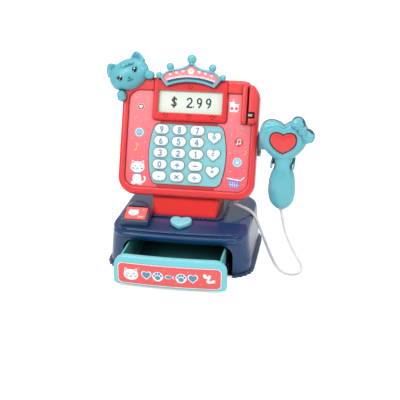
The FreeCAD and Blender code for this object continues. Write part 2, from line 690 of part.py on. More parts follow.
def card_channel():
    """Ridge, wall and the low bridge that joins them under the slot."""
    ridge = prism(rounded_rect(RIDGE_X0, SLOT_X0, SWIPE_Y0, RIDGE_Y1, 2.6), -1.0, RIDGE_Z)
    ridge = fillet(ridge, 2.0, at_z(RIDGE_Z))
    wall = prism(rounded_rect(SLOT_X1, SWIPE_X1, SWIPE_Y0, SWIPE_WALL_Y1, (1.0, 5.0, 9.5, 1.0)),
                 -1.0, SWIPE_WALL_Z)
    wall = fillet(wall, 2.4, at_z(SWIPE_WALL_Z))
    bridge = box(RIDGE_X0 + 1, SWIPE_X1 - 4, SWIPE_Y0 + 0.6, 76, -1.0, 1.0)
    return [ridge, wall, bridge]


def build_head_front():
    shell = head_front_outer()
    shell = fillet(shell, 4.2, at_z(HEAD_RIM_Z))
    recess = rounded_rect(-RECESS_HALF, RECESS_HALF, RECESS_Y0, RECESS_Y1, RECESS_R)
    shell = shell.cut(prism(recess, 0, 20))
    shell = fillet(shell, 2.2, recess_rim_edge)
    shell = join([shell] + card_channel())
    tools = [prism(head_outline(-WALL), HEAD_PART_Z - 1, -2.2)]
    tools += key_holes(-5, 5)
    tools.append(prism(window_wire(1.5, 1.5), -5, 20))
    tools.append(prism(bezel_wire(0.2), 0, 30))
    tools.append(box(SLOT_X0, SLOT_X1, SWIPE_Y0 - 3.0, 96, 0.6, 20))
    # window in the channel's broad wall for the card lever
    tools.append(box(SLOT_X1 - 0.5, 79.0, 46.4, 53.4, 0.2, 20))
    shell = one(shell.cut(tools))
    shell = join([shell] + [disc(x, y, HEAD_PART_Z + 0.1, -1.5, BOSS_R) for x, y in HEAD_SCREWS])
    tools = [disc(x, y, HEAD_PART_Z - 1, -4.0, PILOT_R) for x, y in HEAD_SCREWS]
    tools.append(Part.makeCylinder(0.85, 11.0, Vec(LEVER_X, 44.4, LEVER_Z), Y_AXIS))
    return one(shell.cut(tools))


def build_swipe_lever():
    """Pointed flap on a pin, its tip in the card slot."""
    y0, y1 = 48.5, 51.3
    foot_x = LEVER_X - 1.0
    outline = [(foot_x, 0.5), (LEVER_X + 1.0, 0.5), (LEVER_X + 0.2, 6.4), (LEVER_X - 1.8, 6.6),
               (70.95, 5.4), (LEVER_X - 1.8, 3.6), (foot_x, 0.5)]
    flap = Part.Face(Part.makePolygon([Vec(x, y0, z) for x, z in outline]))
    flap = flap.extrude(Vec(0, y1 - y0, 0))
    pin = Part.makeCylinder(0.75, 10.0, Vec(LEVER_X, 44.9, LEVER_Z), Y_AXIS)
    return one(join([flap, pin]))


def head_rear_tools():
    tools = [
        # flat trim at the parting plane
        box(-100, 100, -80, 120, HEAD_PART_Z - 0.06, 20),
        # battery pocket and the seat of its door
        prism(battery_wire(0, 2.0), HEAD_REAR_Z - 5, -16.6),
        prism(battery_wire(3.6, 3.0), HEAD_REAR_Z - 5, HEAD_REAR_Z + 1.9),
    ]
    for x, y in HEAD_SCREWS:
        tools.append(disc(x, y, HEAD_REAR_Z - 2, HEAD_PART_Z + 1, CLEAR_R))
        tools.append(disc(x, y, HEAD_REAR_Z - 6, HEAD_REAR_Z + 8.0, 3.2))
    # seven speaker slots that fill a circle
    slot_pitch, slot_circle_r = 4.4, 16.5
    for i in range(7):
        offset = (i - 3) * slot_pitch
        half = math.sqrt(slot_circle_r ** 2 - offset ** 2)
        tools.append(prism(stadium(SPEAKER_X, SPEAKER_Y + offset, 2 * half, 2.0),
                           HEAD_REAR_Z - 3, HEAD_REAR_Z + 6))
    tools.append(Part.makeCylinder(3.6, 20, Vec(CABLE_X, HEAD_Y0 - 6, CABLE_Z), Y_AXIS))
    return tools


def build_head_rear():
    shell = head_rear_outer()
    shell = fillet(shell, 9.0, at_z(HEAD_REAR_Z))
    shell = shell.cut(Part.makeLoft([
        head_outline(-WALL, HEAD_PART_Z + 0.5),
        head_outline(-(HEAD_TAPER + WALL + 2.0), HEAD_REAR_Z + WALL)], True, True))
    adds = [box(BATT_X0 - 1.8, BATT_X1 + 1.8, BATT_Y0 - 1.8, BATT_Y1 + 1.8,
                HEAD_REAR_Z + 0.5, -14.8)]
    adds += [disc(x, y, HEAD_REAR_Z + 1.0, HEAD_PART_Z - 0.1, BOSS_R) for x, y in HEAD_SCREWS]
    ring = disc(SPEAKER_X, SPEAKER_Y, HEAD_REAR_Z + 1.0, -27.0, 20.6)
    adds.append(ring.cut(disc(SPEAKER_X, SPEAKER_Y, -40, -20, 19.0)))
    shell = join([shell] + adds)
    shell = one(shell.cut(head_rear_tools()))
    # screw boss for the battery door
    boss = disc(DOOR_SCREW_X, DOOR_SCREW_Y, HEAD_REAR_Z + 2.2, -17.0, 2.6)
    shell = shell.fuse(boss).removeSplitter()
    shell = one(shell.cut(disc(DOOR_SCREW_X, DOOR_SCREW_Y, HEAD_REAR_Z - 1, -20.0, 1.25)))
    # scanner bracket screw holes in the right side wall
    return one(shell.cut([Part.makeCylinder(1.3, 12, Vec(HEAD_HALF - 8, y, BRACKET_Z), X_AXIS)
                          for y in BRACKET_SCREW_YS]))


def build_head_screws():
    return Part.makeCompound([screw(Vec(x, y, HEAD_REAR_Z + 7.95), 22.0) for x, y in HEAD_SCREWS])


# ---------------------------------------------------------------- display and labels
def build_display_bezel():
    bezel = prism(bezel_wire(), 0.08, BEZEL_Z)
    bezel = fillet(bezel, 2.4, at_z(BEZEL_Z))
    # opening with sloping sides
    bezel = bezel.cut(Part.makeLoft([window_wire(0, 1.2, -1), window_wire(1.6, 2.0, BEZEL_Z + 1)],
                                    True, True))
    # engraved heart outlines
    tools = []
    for x, y in ((-28.5, 44.9), (0, 44.9), (28.5, 44.9), (0, 80.6)):
        groove = prism(heart(x, y, 5.8, 5.4), BEZEL_Z - 0.45, 20)
        tools.append(groove.cut(prism(heart(x, y, 4.4, 4.0), 0, 21)))
    bezel = one(bezel.cut(tools))
    # seat for the clear window
    return one(bezel.cut(prism(window_wire(1.3, 1.2), -1, 1.5)))


def build_display_window():
    return prism(window_wire(1.1, 1.0), 0.1, 1.4)


def build_lcd_module():
    frame = box(-41, 41, 47.0, 78.0, -6.0, -2.4)
    glass = box(-38.6, 38.6, 49.7, 75.3, -2.6, -0.4)
    return one(join([frame, glass]))


def build_face_labels():
    """Thin labels on the face, left and right of the keypad."""
    area = prism(rounded_rect(-RECESS_HALF + 0.5, RECESS_HALF - 0.5,
                              RECESS_Y0 + 0.5, RECESS_Y1 - 0.5, RECESS_R - 0.5), 0.06, 0.36)
    labels = area.cut([
        prism(keypad_wire(1.0), -5, 5),
        prism(bezel_wire(0.6), -5, 30),
        box(RIDGE_X0 - 0.6, 100, SWIPE_Y0 - 0.6, 100, -5, 5),
        box(-35.5, 35.5, -60, 60, -5, 5),
    ])
    # slivers left by the cuts are dropped
    return Part.makeCompound([solid for solid in labels.Solids if solid.Volume > 50])


# ---------------------------------------------------------------- head electronics
BATT_AXIS_Z = -25.4
BATT_ROWS = (BATT_Y0 + 8.6, BATT_Y1 - 8.6)


def build_main_board():
    board = prism(rounded_rect(-62, 62, -42, 80, 3.0), -10.0, -8.3)
    chips = [box(48, 58, 50, 64, -11.6, -10.0), box(-52, -44, -30, -18, -11.2, -10.0)]
    return one(board.fuse(chips))


def build_speaker():
    rim_top = -30.6
    return one(join([
        disc(SPEAKER_X, SPEAKER_Y, -33.2, rim_top, 18.7),
        Part.makeCone(15.0, 9.0, 5.0, Vec(SPEAKER_X, SPEAKER_Y, rim_top)),
        disc(SPEAKER_X, SPEAKER_Y, rim_top + 5.0, -20.5, 9.0),
    ]))


def build_battery_door():
    door = prism(battery_wire(3.3, 2.7), HEAD_REAR_Z, HEAD_REAR_Z + 1.8)
    ribs = [box(BATT_X0 + 6, BATT_X1 - 6, 15.0 + 8.0 * i, 16.4 + 8.0 * i,
                HEAD_REAR_Z - 0.5, HEAD_REAR_Z + 0.2) for i in range(3)]
    door = join([door] + ribs)
    return one(door.cut([
        disc(DOOR_SCREW_X, DOOR_SCREW_Y, HEAD_REAR_Z - 5, HEAD_REAR_Z + 5, 1.5),
        disc(DOOR_SCREW_X, DOOR_SCREW_Y, HEAD_REAR_Z - 5, HEAD_REAR_Z + 0.9, 2.6)]))


def build_battery_door_screw():
    return screw(Vec(DOOR_SCREW_X, DOOR_SCREW_Y, HEAD_REAR_Z + 0.85), 9.0, 2.3, 1.15)


def build_batteries():
    start, length = BATT_X0 + 5.0, 49.0
    cells = []
    for y in BATT_ROWS:
        cell = Part.makeCylinder(7.1, length, Vec(start, y, BATT_AXIS_Z), X_AXIS)
        nub = Part.makeCylinder(2.6, 1.4, Vec(start + length, y, BATT_AXIS_Z), X_AXIS)
        cells.append(cell.fuse(nub).removeSplitter())
    return Part.makeCompound(cells)


def build_battery_contacts():
    """A flat plate at the right end and a coil at the left end of each cell."""
    contacts = []
    for y in BATT_ROWS:
        contacts.append(box(BATT_X1 - 1.0, BATT_X1 - 0.5, y - 5, y + 5, -31.0, -19.5))
        spring = coil(radius=3.2, wire_radius=0.35, pitch=1.5, height=3.6)
        contacts.append(placed(spring, Y_AXIS, 90, Vec(BATT_X0 + 0.9, y, BATT_AXIS_Z)))
    return Part.makeCompound(contacts)


# ---------------------------------------------------------------- crown and cat (head frame)
CROWN_Z0, CROWN_Z1 = BEZEL_Z + 0.1, BEZEL_Z + 5.6
# Balls on the crown: x, y, radius
CROWN_BALLS = [(0, 114.6, 6.0), (25.9, 105.0, 4.7), (-25.9, 105.0, 4.7),
               (38.9, 93.9, 3.9), (-38.9, 93.9, 3.9)]


def crown_wire(inset=0.0):
    """Crown outline: peak in the middle, shoulders under the outer balls, arched bottom."""
    edges = []
    for side in (1, -1):
        def point(x, y):
            return Vec(side * x, y, 0)

        peak = point(0, 111.2 - 1.5 * inset)
        dip = point(13.0, 102.6 - 1.1 * inset)
        shoulder = point(25.5, 100.6 - 1.0 * inset)
        tip = point(37.6 - 1.25 * inset, 90.4 - 0.3 * inset)
        foot = point(29.0 - 0.45 * inset, 80.2 + 1.35 * inset)
        bottom = point(0, 86.3 + 1.0 * inset)
        edges.append(arc(peak, point(6.2, 105.9 - 1.15 * inset), dip))
        edges.append(line(dip, shoulder))
        edges.append(arc(shoulder, point(32.6 - 0.6 * inset, 96.4 - 0.85 * inset), tip))
        edges.append(line(tip, foot))
        edges.append(arc(foot, point(14.8, 84.8 + 1.0 * inset), bottom))
    return Part.Wire(Part.__sortEdges__(edges))


def build_crown():
    crown = prism(crown_wire(), CROWN_Z0, CROWN_Z1)
    crown = fillet(crown, 0.9, at_z(CROWN_Z1))
    crown = crown.cut(prism(crown_wire(1.7), CROWN_Z1 - 1.4, CROWN_Z1 + 5))
    balls = [Part.makeSphere(radius, Vec(x, y, CROWN_Z0 + 3.4)) for x, y, radius in CROWN_BALLS]
    crown = crown.fuse(balls).removeSplitter()
    # clear the balls from the bezel and the head's top
    return one(crown.cut([box(-60, 60, 70, HEAD_Y1 + 0.3, -20, CROWN_Z0)]))


def build_crown_label():
    return one(prism(crown_wire(1.95), CROWN_Z1 - 1.34, CROWN_Z1 - 1.0))


def build_cat():
    """Cat's head with ears and a bow over the head's upper left corner, and two paws."""
    lean = 27.0
    face = ellipsoid(ORIGIN, 25.5, 20.5, 15.0)
    ears = []
    for side in (1, -1):
        ear = stretched(Part.makeCone(8.8, 2.2, 13.6, ORIGIN, Y_AXIS), 1.0, 1.0, 0.62)
        ears.append(placed(ear, Z_AXIS, -side * 27.0, Vec(side * 15.2, 10.5, 0)))
    bow = [ellipsoid(Vec(side * 5.6, 17.5, 11.0), 6.0, 4.0, 3.2) for side in (1, -1)]
    bow.append(ellipsoid(Vec(0, 17.5, 11.5), 2.6, 2.6, 3.2))
    cat = placed(face.fuse(ears + bow), Z_AXIS, lean, Vec(-78.5, 92.5, 3.0))
    paws = [ellipsoid(Vec(-51.8, 93.8, 6.5), 7.2, 6.2, 6.5),
            ellipsoid(Vec(-85.2, 67.2, 6.5), 6.2, 7.2, 6.5)]
    cat = cat.fuse(paws).cut(head_front_outer(0.15))
    return cat.cut(box(-140, 0, 40, 140, -60, HEAD_PART_Z + 6.0))


# ---------------------------------------------------------------- scanner
SCANNER_X, SCANNER_Y = 116.3, 8.0          # axis of the handle
SCANNER_W, SCANNER_H, SCANNER_Z = 58.0, 52.5, 151.6      # heart body
SCANNER_FRONT, SCANNER_BACK = SCANNER_Y - 10.5, SCANNER_Y + 8.5
SPLIT_Y = SCANNER_Y + 0.6                  # parting plane of the two shells
SPLIT_GAP = 0.04                           # gap on each side of it
TRIGGER_W, TRIGGER_H, TRIGGER_Z = 30.0, 24.5, 152.4      # heart-shaped button
SCREW_SEAT_Y = SCANNER_BACK - 2.2
SCANNER_SCREWS = [(SCANNER_X - 20.5, SCANNER_Z + 9.0), (SCANNER_X + 20.5, SCANNER_Z + 9.0),
                  (SCANNER_X, 98.0)]       # x, z
# Elliptic handle sections: z, half width, half depth, offset in x
HANDLE_SECTIONS = [
    (132.0, 10.6, 9.6, 0.8), (125.0, 10.5, 9.8, 0.8), (119.5, 10.8, 10.0, 0.4),
    (112.5, 14.0, 11.4, 0.2), (103.0, 15.8, 12.4, 0.0), (92.5, 16.4, 12.7, 0.0),
    (81.0, 14.4, 11.4, 0.2), (74.0, 10.2, 8.8, 0.4), (69.6, 6.0, 5.4, 0.5),
    (67.4, 4.0, 3.8, 0.5),
]


def scanner_handle(inset=0.0):
    """Lofted handle; an inset one ends at the last section but one."""
    sections = []
    for z, half_width, half_depth, dx in HANDLE_SECTIONS[:-1] if inset else HANDLE_SECTIONS:
        ellipse = Part.Ellipse(Vec(SCANNER_X + dx, SCANNER_Y, z),
                               half_width - inset, half_depth - inset)
        sections.append(Part.Wire(ellipse.toShape()))
    return Part.makeLoft(sections, True, False)


def standing_heart(width, height, y0, y1, z=SCANNER_Z):
    """Heart on the scanner's centre line, from y0 to y1."""
    solid = prism(heart(0, 0, width, height, PLUMP_HEART), 0, y1 - y0)
    return facing_front(solid, SCANNER_X, y1, z)


def along_y(radius, x, z, y0, y1):
    return Part.makeCylinder(radius, y1 - y0, Vec(x, y0, z), Y_AXIS)


def scanner_body():
    """Solid heart with the handle and a bow on the right lobe."""
    body = standing_heart(SCANNER_W, SCANNER_H, SCANNER_FRONT, SCANNER_BACK)
    body = fillet(body, 3.6, lambda edge: edge.BoundBox.YLength < 1e-3)
    body = body.fuse(scanner_handle()).removeSplitter()
    centre = Vec(SCANNER_X + 22.0, SCANNER_FRONT + 1.0, SCANNER_Z + 16.5)
    bow = [placed(ellipsoid(Vec(side * 9.0, 0, 0), 8.8, 4.2, 7.2), Y_AXIS, 51.0, centre)
           for side in (1, -1)]
    knot = ellipsoid(centre, 4.2, 5.0, 4.2)
    return one(body.fuse(bow + [knot]))


def build_scanner_shells():
    """Front and rear halves of the hollowed body, with their screw bosses."""
    inside = standing_heart(SCANNER_W - 5.6, SCANNER_H - 6.0,
                            SCANNER_FRONT + WALL, SCANNER_BACK - WALL)
    hole = standing_heart(TRIGGER_W + 0.9, TRIGGER_H + 0.9,
                          SCANNER_FRONT - 5, SCANNER_FRONT + 6, TRIGGER_Z)
    cable_bore = disc(SCANNER_X, SCANNER_Y, 60.0, 76.0, 2.1)
    shell = one(scanner_body().cut([inside, scanner_handle(2.2)]))
    shell = one(shell.cut([hole, cable_bore]))
    front_end, rear_start = SPLIT_Y - SPLIT_GAP, SPLIT_Y + SPLIT_GAP
    front = one(shell.common(box(0, 300, -60, front_end, 0, 300)))
    rear = one(shell.common(box(0, 300, rear_start, 80, 0, 300)))
    for x, z in SCANNER_SCREWS:
        boss = along_y(3.0, x, z, rear_start, SCANNER_BACK - WALL + 0.5)
        rear = rear.fuse(boss).removeSplitter()
        rear = one(rear.cut([along_y(1.5, x, z, -20, 40),
                             along_y(3.1, x, z, SCREW_SEAT_Y, SCREW_SEAT_Y + 10)]))
        boss = along_y(3.0, x, z, SCANNER_FRONT + WALL - 0.5, front_end)
        front = front.fuse(boss).removeSplitter()
        front = one(front.cut([along_y(1.35, x, z, SCANNER_FRONT + WALL + 1.0, SPLIT_Y)]))
    return front, rear


def build_scanner_button():
    height = 4.6
    cap = prism(heart(0, 0, TRIGGER_W, TRIGGER_H, PLUMP_HEART), 0, height)
    cap = fillet(cap, 1.4, at_z(height))
    flange = prism(heart(0, 0, TRIGGER_W + 2.8, TRIGGER_H + 2.8, PLUMP_HEART), -1.2, 0.0)
    return facing_front(one(cap.fuse(flange)), SCANNER_X, SCANNER_FRONT + WALL + 0.15, TRIGGER_Z)


def build_scanner_board():
    face_y = SPLIT_Y - 2.6
    board = box(SCANNER_X - 11, SCANNER_X + 11, face_y, SPLIT_Y - 1.2,
                SCANNER_Z - 13, SCANNER_Z + 9)
    switch = box(SCANNER_X - 3, SCANNER_X + 3, SPLIT_Y - 4.6, face_y,
                 SCANNER_Z - 5, SCANNER_Z + 1)
    led = Part.makeCylinder(1.5, 2.0, Vec(SCANNER_X + 7, face_y, SCANNER_Z - 2), Vec(0, -1, 0))
    return one(join([board, switch, led]))


def build_scanner_screws():
    """Screws from the back, shanks towards the front."""
    return Part.makeCompound([
        facing_front(screw(ORIGIN, 9.0, 2.7, 1.25), x, SCREW_SEAT_Y + 0.05, z)
        for x, z in SCANNER_SCREWS])


# ---------------------------------------------------------------- scanner bracket
ARM_Y0, ARM_Y1 = 21.2, 24.4                # upright plate behind the scanner
ARM_TOP = 153.0
FORK_HALF, PRONG_T, FORK_Z = 14.3, 2.2, 119.0


def build_scanner_bracket():
    """Arm from the head's side wall, with a fork that holds the scanner's neck."""
    foot_centre = head_point(HEAD_HALF, BRACKET_Y, BRACKET_Z)
    # turned so that local x runs down the head's face and local z points right
    foot = prism(rounded_rect(-15.0, 15.0, -9.5, 9.5, 3.0), 0, 2.6)
    foot.rotate(ORIGIN, Y_AXIS, 90)
    foot = placed(foot, X_AXIS, -TILT, Vec(HEAD_HALF + 0.15, foot_centre.y, foot_centre.z))
    arm = box(HEAD_HALF + 2.0, SCANNER_X + 11.0, ARM_Y0, ARM_Y1, 136.0, ARM_TOP)
    drop = box(SCANNER_X - FORK_HALF, SCANNER_X + FORK_HALF, ARM_Y0, ARM_Y1, FORK_Z, ARM_TOP)
    web = box(HEAD_HALF + 2.0, HEAD_HALF + 5.0, ARM_Y0, foot_centre.y + 8.0, 137.0, 150.0)
    prongs = []
    for x in (SCANNER_X + FORK_HALF - PRONG_T, SCANNER_X - FORK_HALF):
        prong = box(x, x + PRONG_T, 0.5, 22.5, FORK_Z, 126.2)
        prongs.append(fillet(prong, 2.6, lambda edge: edge.BoundBox.XLength > 1.9
                             and edge.BoundBox.YMax < 2))
    bracket = join([foot, arm, drop, web] + prongs)
    tools = []
    for y in BRACKET_SCREW_YS:
        hole = head_point(HEAD_HALF, y, BRACKET_Z)
        tools.append(Part.makeCylinder(1.5, 6, Vec(HEAD_HALF - 1, hole.y, hole.z), X_AXIS))
        tools.append(Part.makeCylinder(3.2, 12, Vec(HEAD_HALF + 1.9, hole.y, hole.z), X_AXIS))
    return one(bracket.cut(tools))


def build_bracket_screws():
    """Screws from the right, shanks pointing left into the head."""
    return Part.makeCompound([
        placed(screw(ORIGIN, 6.5, 2.6, 1.15), Y_AXIS, -90,
               head_point(HEAD_HALF + 2.0, y, BRACKET_Z))
        for y in BRACKET_SCREW_YS])


# ---------------------------------------------------------------- cable
CABLE_R = 1.6
# Head-frame heights, relative to the head's lower edge, of the cable's first points
CABLE_EXIT = (7.0, 3.5, 0.5, -1.8, -3.0)
# The loop over the floor and up into the handle: row x, y, z
CABLE_LOOP = [
    (61.2, 14.6, 66.6), (66.9, 15.4, 63.6), (73.3, 16.4, 60.6), (79.6, 17.2, 56.4),
    (85.2, 18.0, 48.6), (89.6, 18.6, 38.6), (95.6, 17.0, 24.8), (102.0, 11.0, 12.6),
    (108.2, 0.0, 5.2), (114.0, -14.0, 2.9), (120.8, -28.0, 2.6), (129.5, -36.5, 2.6),
    (139.5, -35.5, 2.6), (145.5, -25.0, 2.9), (144.0, -11.0, 4.6), (137.0, -1.0, 11.0),
    (129.5, 4.4, 22.5), (122.6, 7.2, 38.0), (118.9, SCANNER_Y, 54.0),
    (SCANNER_X + 0.3, SCANNER_Y, 64.5), (SCANNER_X, SCANNER_Y, 72.0),
]


def build_scanner_cable():
    points = [head_point(CABLE_X, HEAD_Y0 + offset, CABLE_Z) for offset in CABLE_EXIT]
    points += [Vec(*point) for point in CABLE_LOOP]
    curve = Part.BSplineCurve()
    curve.interpolate(points)
    tangent = curve.tangent(curve.FirstParameter)[0]
    section = Part.Wire([Part.makeCircle(CABLE_R, points[0], tangent)])
    return Part.Wire([curve.toShape()]).makePipeShell([section], True, False)


def build_cable_grommet():
    """A flanged ring pressed into the head's underside."""
    ring = Part.makeCylinder(3.45, 7.0, Vec(CABLE_X, HEAD_Y0 - 1.6, CABLE_Z), Y_AXIS)
    flange = Part.makeCylinder(5.0, 1.5, Vec(CABLE_X, HEAD_Y0 - 1.7, CABLE_Z), Y_AXIS)
    ring = ring.fuse(flange).removeSplitter()
    return ring.cut(Part.makeCylinder(2.5, 14, Vec(CABLE_X, HEAD_Y0 - 5, CABLE_Z), Y_AXIS))


# ---------------------------------------------------------------- pieces and export
# Built in the row frame
ROW_PIECES = {
    "base_shell": build_base_shell,
    "base_floor": build_base_floor,
    "shell_screws": build_shell_screws,
    "drawer_front": build_drawer_front,
    "drawer_tray": build_drawer_tray,
    "drawer_label": build_drawer_label,
    "drawer_spring": build_drawer_spring,
    "release_button": build_release_button,
    "latch_lever": build_latch_lever,
    "latch_spring": build_latch_spring,
    "neck_column": build_neck_column,
    "pad_housing": build_pad_housing,
    "pad_plate": build_pad_plate,
    "pad_label": build_pad_label,
    "scanner_bracket": build_scanner_bracket,
    "bracket_screws": build_bracket_screws,
    "scanner_button": build_scanner_button,
    "scanner_board": build_scanner_board,
    "scanner_screws": build_scanner_screws,
    "scanner_cable": build_scanner_cable,
}
# Built in the head frame
HEAD_PIECES = {
    "head_front_shell": build_head_front,
    "swipe_lever": build_swipe_lever,
    "head_rear_shell": build_head_rear,
    "head_screws": build_head_screws,
    "display_bezel": build_display_bezel,
    "display_window": build_display_window,
    "lcd_module": build_lcd_module,
    "face_labels": build_face_labels,
    "keypad_plate": build_keypad_plate,
    "keypad_membrane": build_keypad_membrane,
    "main_board": build_main_board,
    "speaker": build_speaker,
    "battery_door": build_battery_door,
    "battery_door_screw": build_battery_door_screw,
    "batteries": build_batteries,
    "battery_contacts": build_battery_contacts,
    "crown": build_crown,
    "crown_label": build_crown_label,
    "cat_figure": build_cat,
    "cable_grommet": build_cable_grommet,
}


def export(name, shape):
    solids = shape.Solids
    piece = solids[0] if len(solids) == 1 else Part.makeCompound(solids)
    piece.exportStep("parts/%s.step" % name)


def main():
    os.makedirs("parts", exist_ok=True)
    for name, build in ROW_PIECES.items():
        export(name, build())
    for name, build in HEAD_PIECES.items():
        export(name, head_to_row(build()))
    for name, *key in KEYS:
        export(name, head_to_row(build_key(*key)))
    front, rear = build_scanner_shells()
    export("scanner_front_shell", front)
    export("scanner_rear_shell", rear)


main()
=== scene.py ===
"""Toy cash register: navy base with an open drawer, a tilted red head with keypad, display,
crown and kitten, and a heart-shaped hand scanner on a cable.

+X is the register's right as seen from the front, -Y its front and +Z up; the floor is z = 0.
Shapes are drawn in millimetres and turned into metres by make(). On the head, the scan pad and
the scanner, local x runs right, y up the face and z out of it.
"""
import math

import bmesh
import bpy
import numpy as np
from mathutils import Matrix, Vector


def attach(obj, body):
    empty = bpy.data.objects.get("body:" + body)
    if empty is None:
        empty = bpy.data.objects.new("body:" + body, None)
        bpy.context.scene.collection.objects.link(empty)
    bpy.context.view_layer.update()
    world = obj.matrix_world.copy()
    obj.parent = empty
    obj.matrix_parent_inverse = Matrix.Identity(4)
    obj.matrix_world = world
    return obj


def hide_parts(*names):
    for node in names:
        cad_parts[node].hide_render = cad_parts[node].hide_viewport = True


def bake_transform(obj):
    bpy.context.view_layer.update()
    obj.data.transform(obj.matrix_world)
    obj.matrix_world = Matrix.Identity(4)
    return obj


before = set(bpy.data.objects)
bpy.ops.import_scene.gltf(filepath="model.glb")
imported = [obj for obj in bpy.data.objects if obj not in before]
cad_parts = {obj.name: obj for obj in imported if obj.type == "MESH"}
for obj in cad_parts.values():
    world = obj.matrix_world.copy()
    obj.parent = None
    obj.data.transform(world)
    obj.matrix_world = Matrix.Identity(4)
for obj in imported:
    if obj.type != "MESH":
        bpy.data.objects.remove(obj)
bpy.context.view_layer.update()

MM = 0.001
TAU = 2 * math.pi
rad = math.radians

# ---------------------------------------------------------------- frames (millimetres, degrees)


def tilted(origin, degrees):
    return Matrix.Translation(origin) @ Matrix.Rotation(rad(degrees), 4, 'X')


HEAD_LEAN = 20.6
HEAD = tilted((0, 13.5, 127.5), 90 - HEAD_LEAN)

DECK_Z = 54.0                       # top of the base
STRIP_Y, STRIP_SLOPE = -18.0, 7.0   # ahead of STRIP_Y the deck falls away at this slope
BUTTON_Y = -30.5
BUTTON_Z = DECK_Z - (STRIP_Y - BUTTON_Y) * math.tan(rad(STRIP_SLOPE))
STRIP = tilted((0, BUTTON_Y, BUTTON_Z), STRIP_SLOPE)

PAD_SLOPE = 24.0
PAD = tilted((-54.5, -41.5, 58.2), PAD_SLOPE)

SCANNER_X, SCANNER_Y = 116.3, 8.0
SCANNER = tilted((SCANNER_X, SCANNER_Y, 0), 90)

FRONT_R = 565.0                     # bow of the base's and the drawer's fronts
BASE_FRONT_Y = -57.0
BASE_CORNER_R = 26.0
DRAWER_FRONT_Y = BASE_FRONT_Y - 46.0
DRAWER_CENTRE_Y = DRAWER_FRONT_Y + FRONT_R


# ---------------------------------------------------------------- shader helpers
def linear(rgb):
    """An 8-bit sRGB colour as linear RGBA."""
    channels = [c / 255.0 for c in rgb]
    return (*(c / 12.92 if c <= 0.04045 else ((c + 0.055) / 1.055) ** 2.4 for c in channels), 1.0)


def shade(color, factor):
    return (*(min(1, c * factor) for c in color[:3]), 1.0)


def fill(tree, node, inputs):
    """Link each input to a socket, or set it to a value."""
    for key, value in inputs.items():
        if isinstance(value, bpy.types.NodeSocket):
            tree.links.new(value, node.inputs[key])
        else:
            node.inputs[key].default_value = value


def add_node(tree, kind, inputs=None):
    node = tree.nodes.new("ShaderNode" + kind)
    fill(tree, node, inputs or {})
    return node


def empty_material(name):
    material = bpy.data.materials.new(name)
    material.use_nodes = True
    tree = material.node_tree
    tree.nodes.clear()
    return material, tree, add_node(tree, "OutputMaterial")


def new_material(name):
    material, tree, output = empty_material(name)
    shader = add_node(tree, "BsdfPrincipled")
    tree.links.new(shader.outputs[0], output.inputs[0])
    return material, tree, shader


def principled(material):
    return material.node_tree.nodes["Principled BSDF"]


def object_coords(tree):
    return add_node(tree, "TexCoord").outputs["Object"]


def noise(tree, coords, scale, detail=3.0, roughness=0.5):
    inputs = {"Scale": scale, "Detail": detail, "Roughness": roughness, "Vector": coords}
    return add_node(tree, "TexNoise", inputs).outputs["Fac"]


def ramp(tree, value, span=(0.3, 0.7), to=(0.0, 1.0)):
    """Map the range span onto the range to."""
    return add_node(tree, "MapRange", {
        "From Min": span[0], "From Max": span[1], "To Min": to[0], "To Max": to[1],
        "Value": value}).outputs[0]


def mix(tree, factor, first, second, blend='MIX'):
    node = tree.nodes.new("ShaderNodeMix")
    node.data_type = 'RGBA'
    node.blend_type = blend
    fill(tree, node, {0: factor, 6: first, 7: second})
    return node.outputs[2]


def multiply(tree, first, second):
    node = add_node(tree, "Math", {0: first, 1: second})
    node.operation = 'MULTIPLY'
    return node.outputs[0]


def bump(tree, height, strength, distance):
    return add_node(tree, "Bump", {"Strength": strength, "Distance": distance, "Height": height})


def paint_occlusion_shade(tree, color, distance, tint):
    """Painted shade: darken creases, joins and the insides of hollows where ambient occlusion finds
    them.
    """
    node = add_node(tree, "AmbientOcclusion", {"Distance": distance})
    node.samples = 6
    shade_amount = ramp(tree, node.outputs["AO"], span=(0.35, 0.95), to=(1.0, 0.0))
    return mix(tree, shade_amount, color, (tint, tint, tint, 1.0), blend='MULTIPLY')


def rounded_normal(tree, radius):
    node = add_node(tree, "Bevel", {"Radius": radius})
    node.samples = 4
    return node.outputs[0]


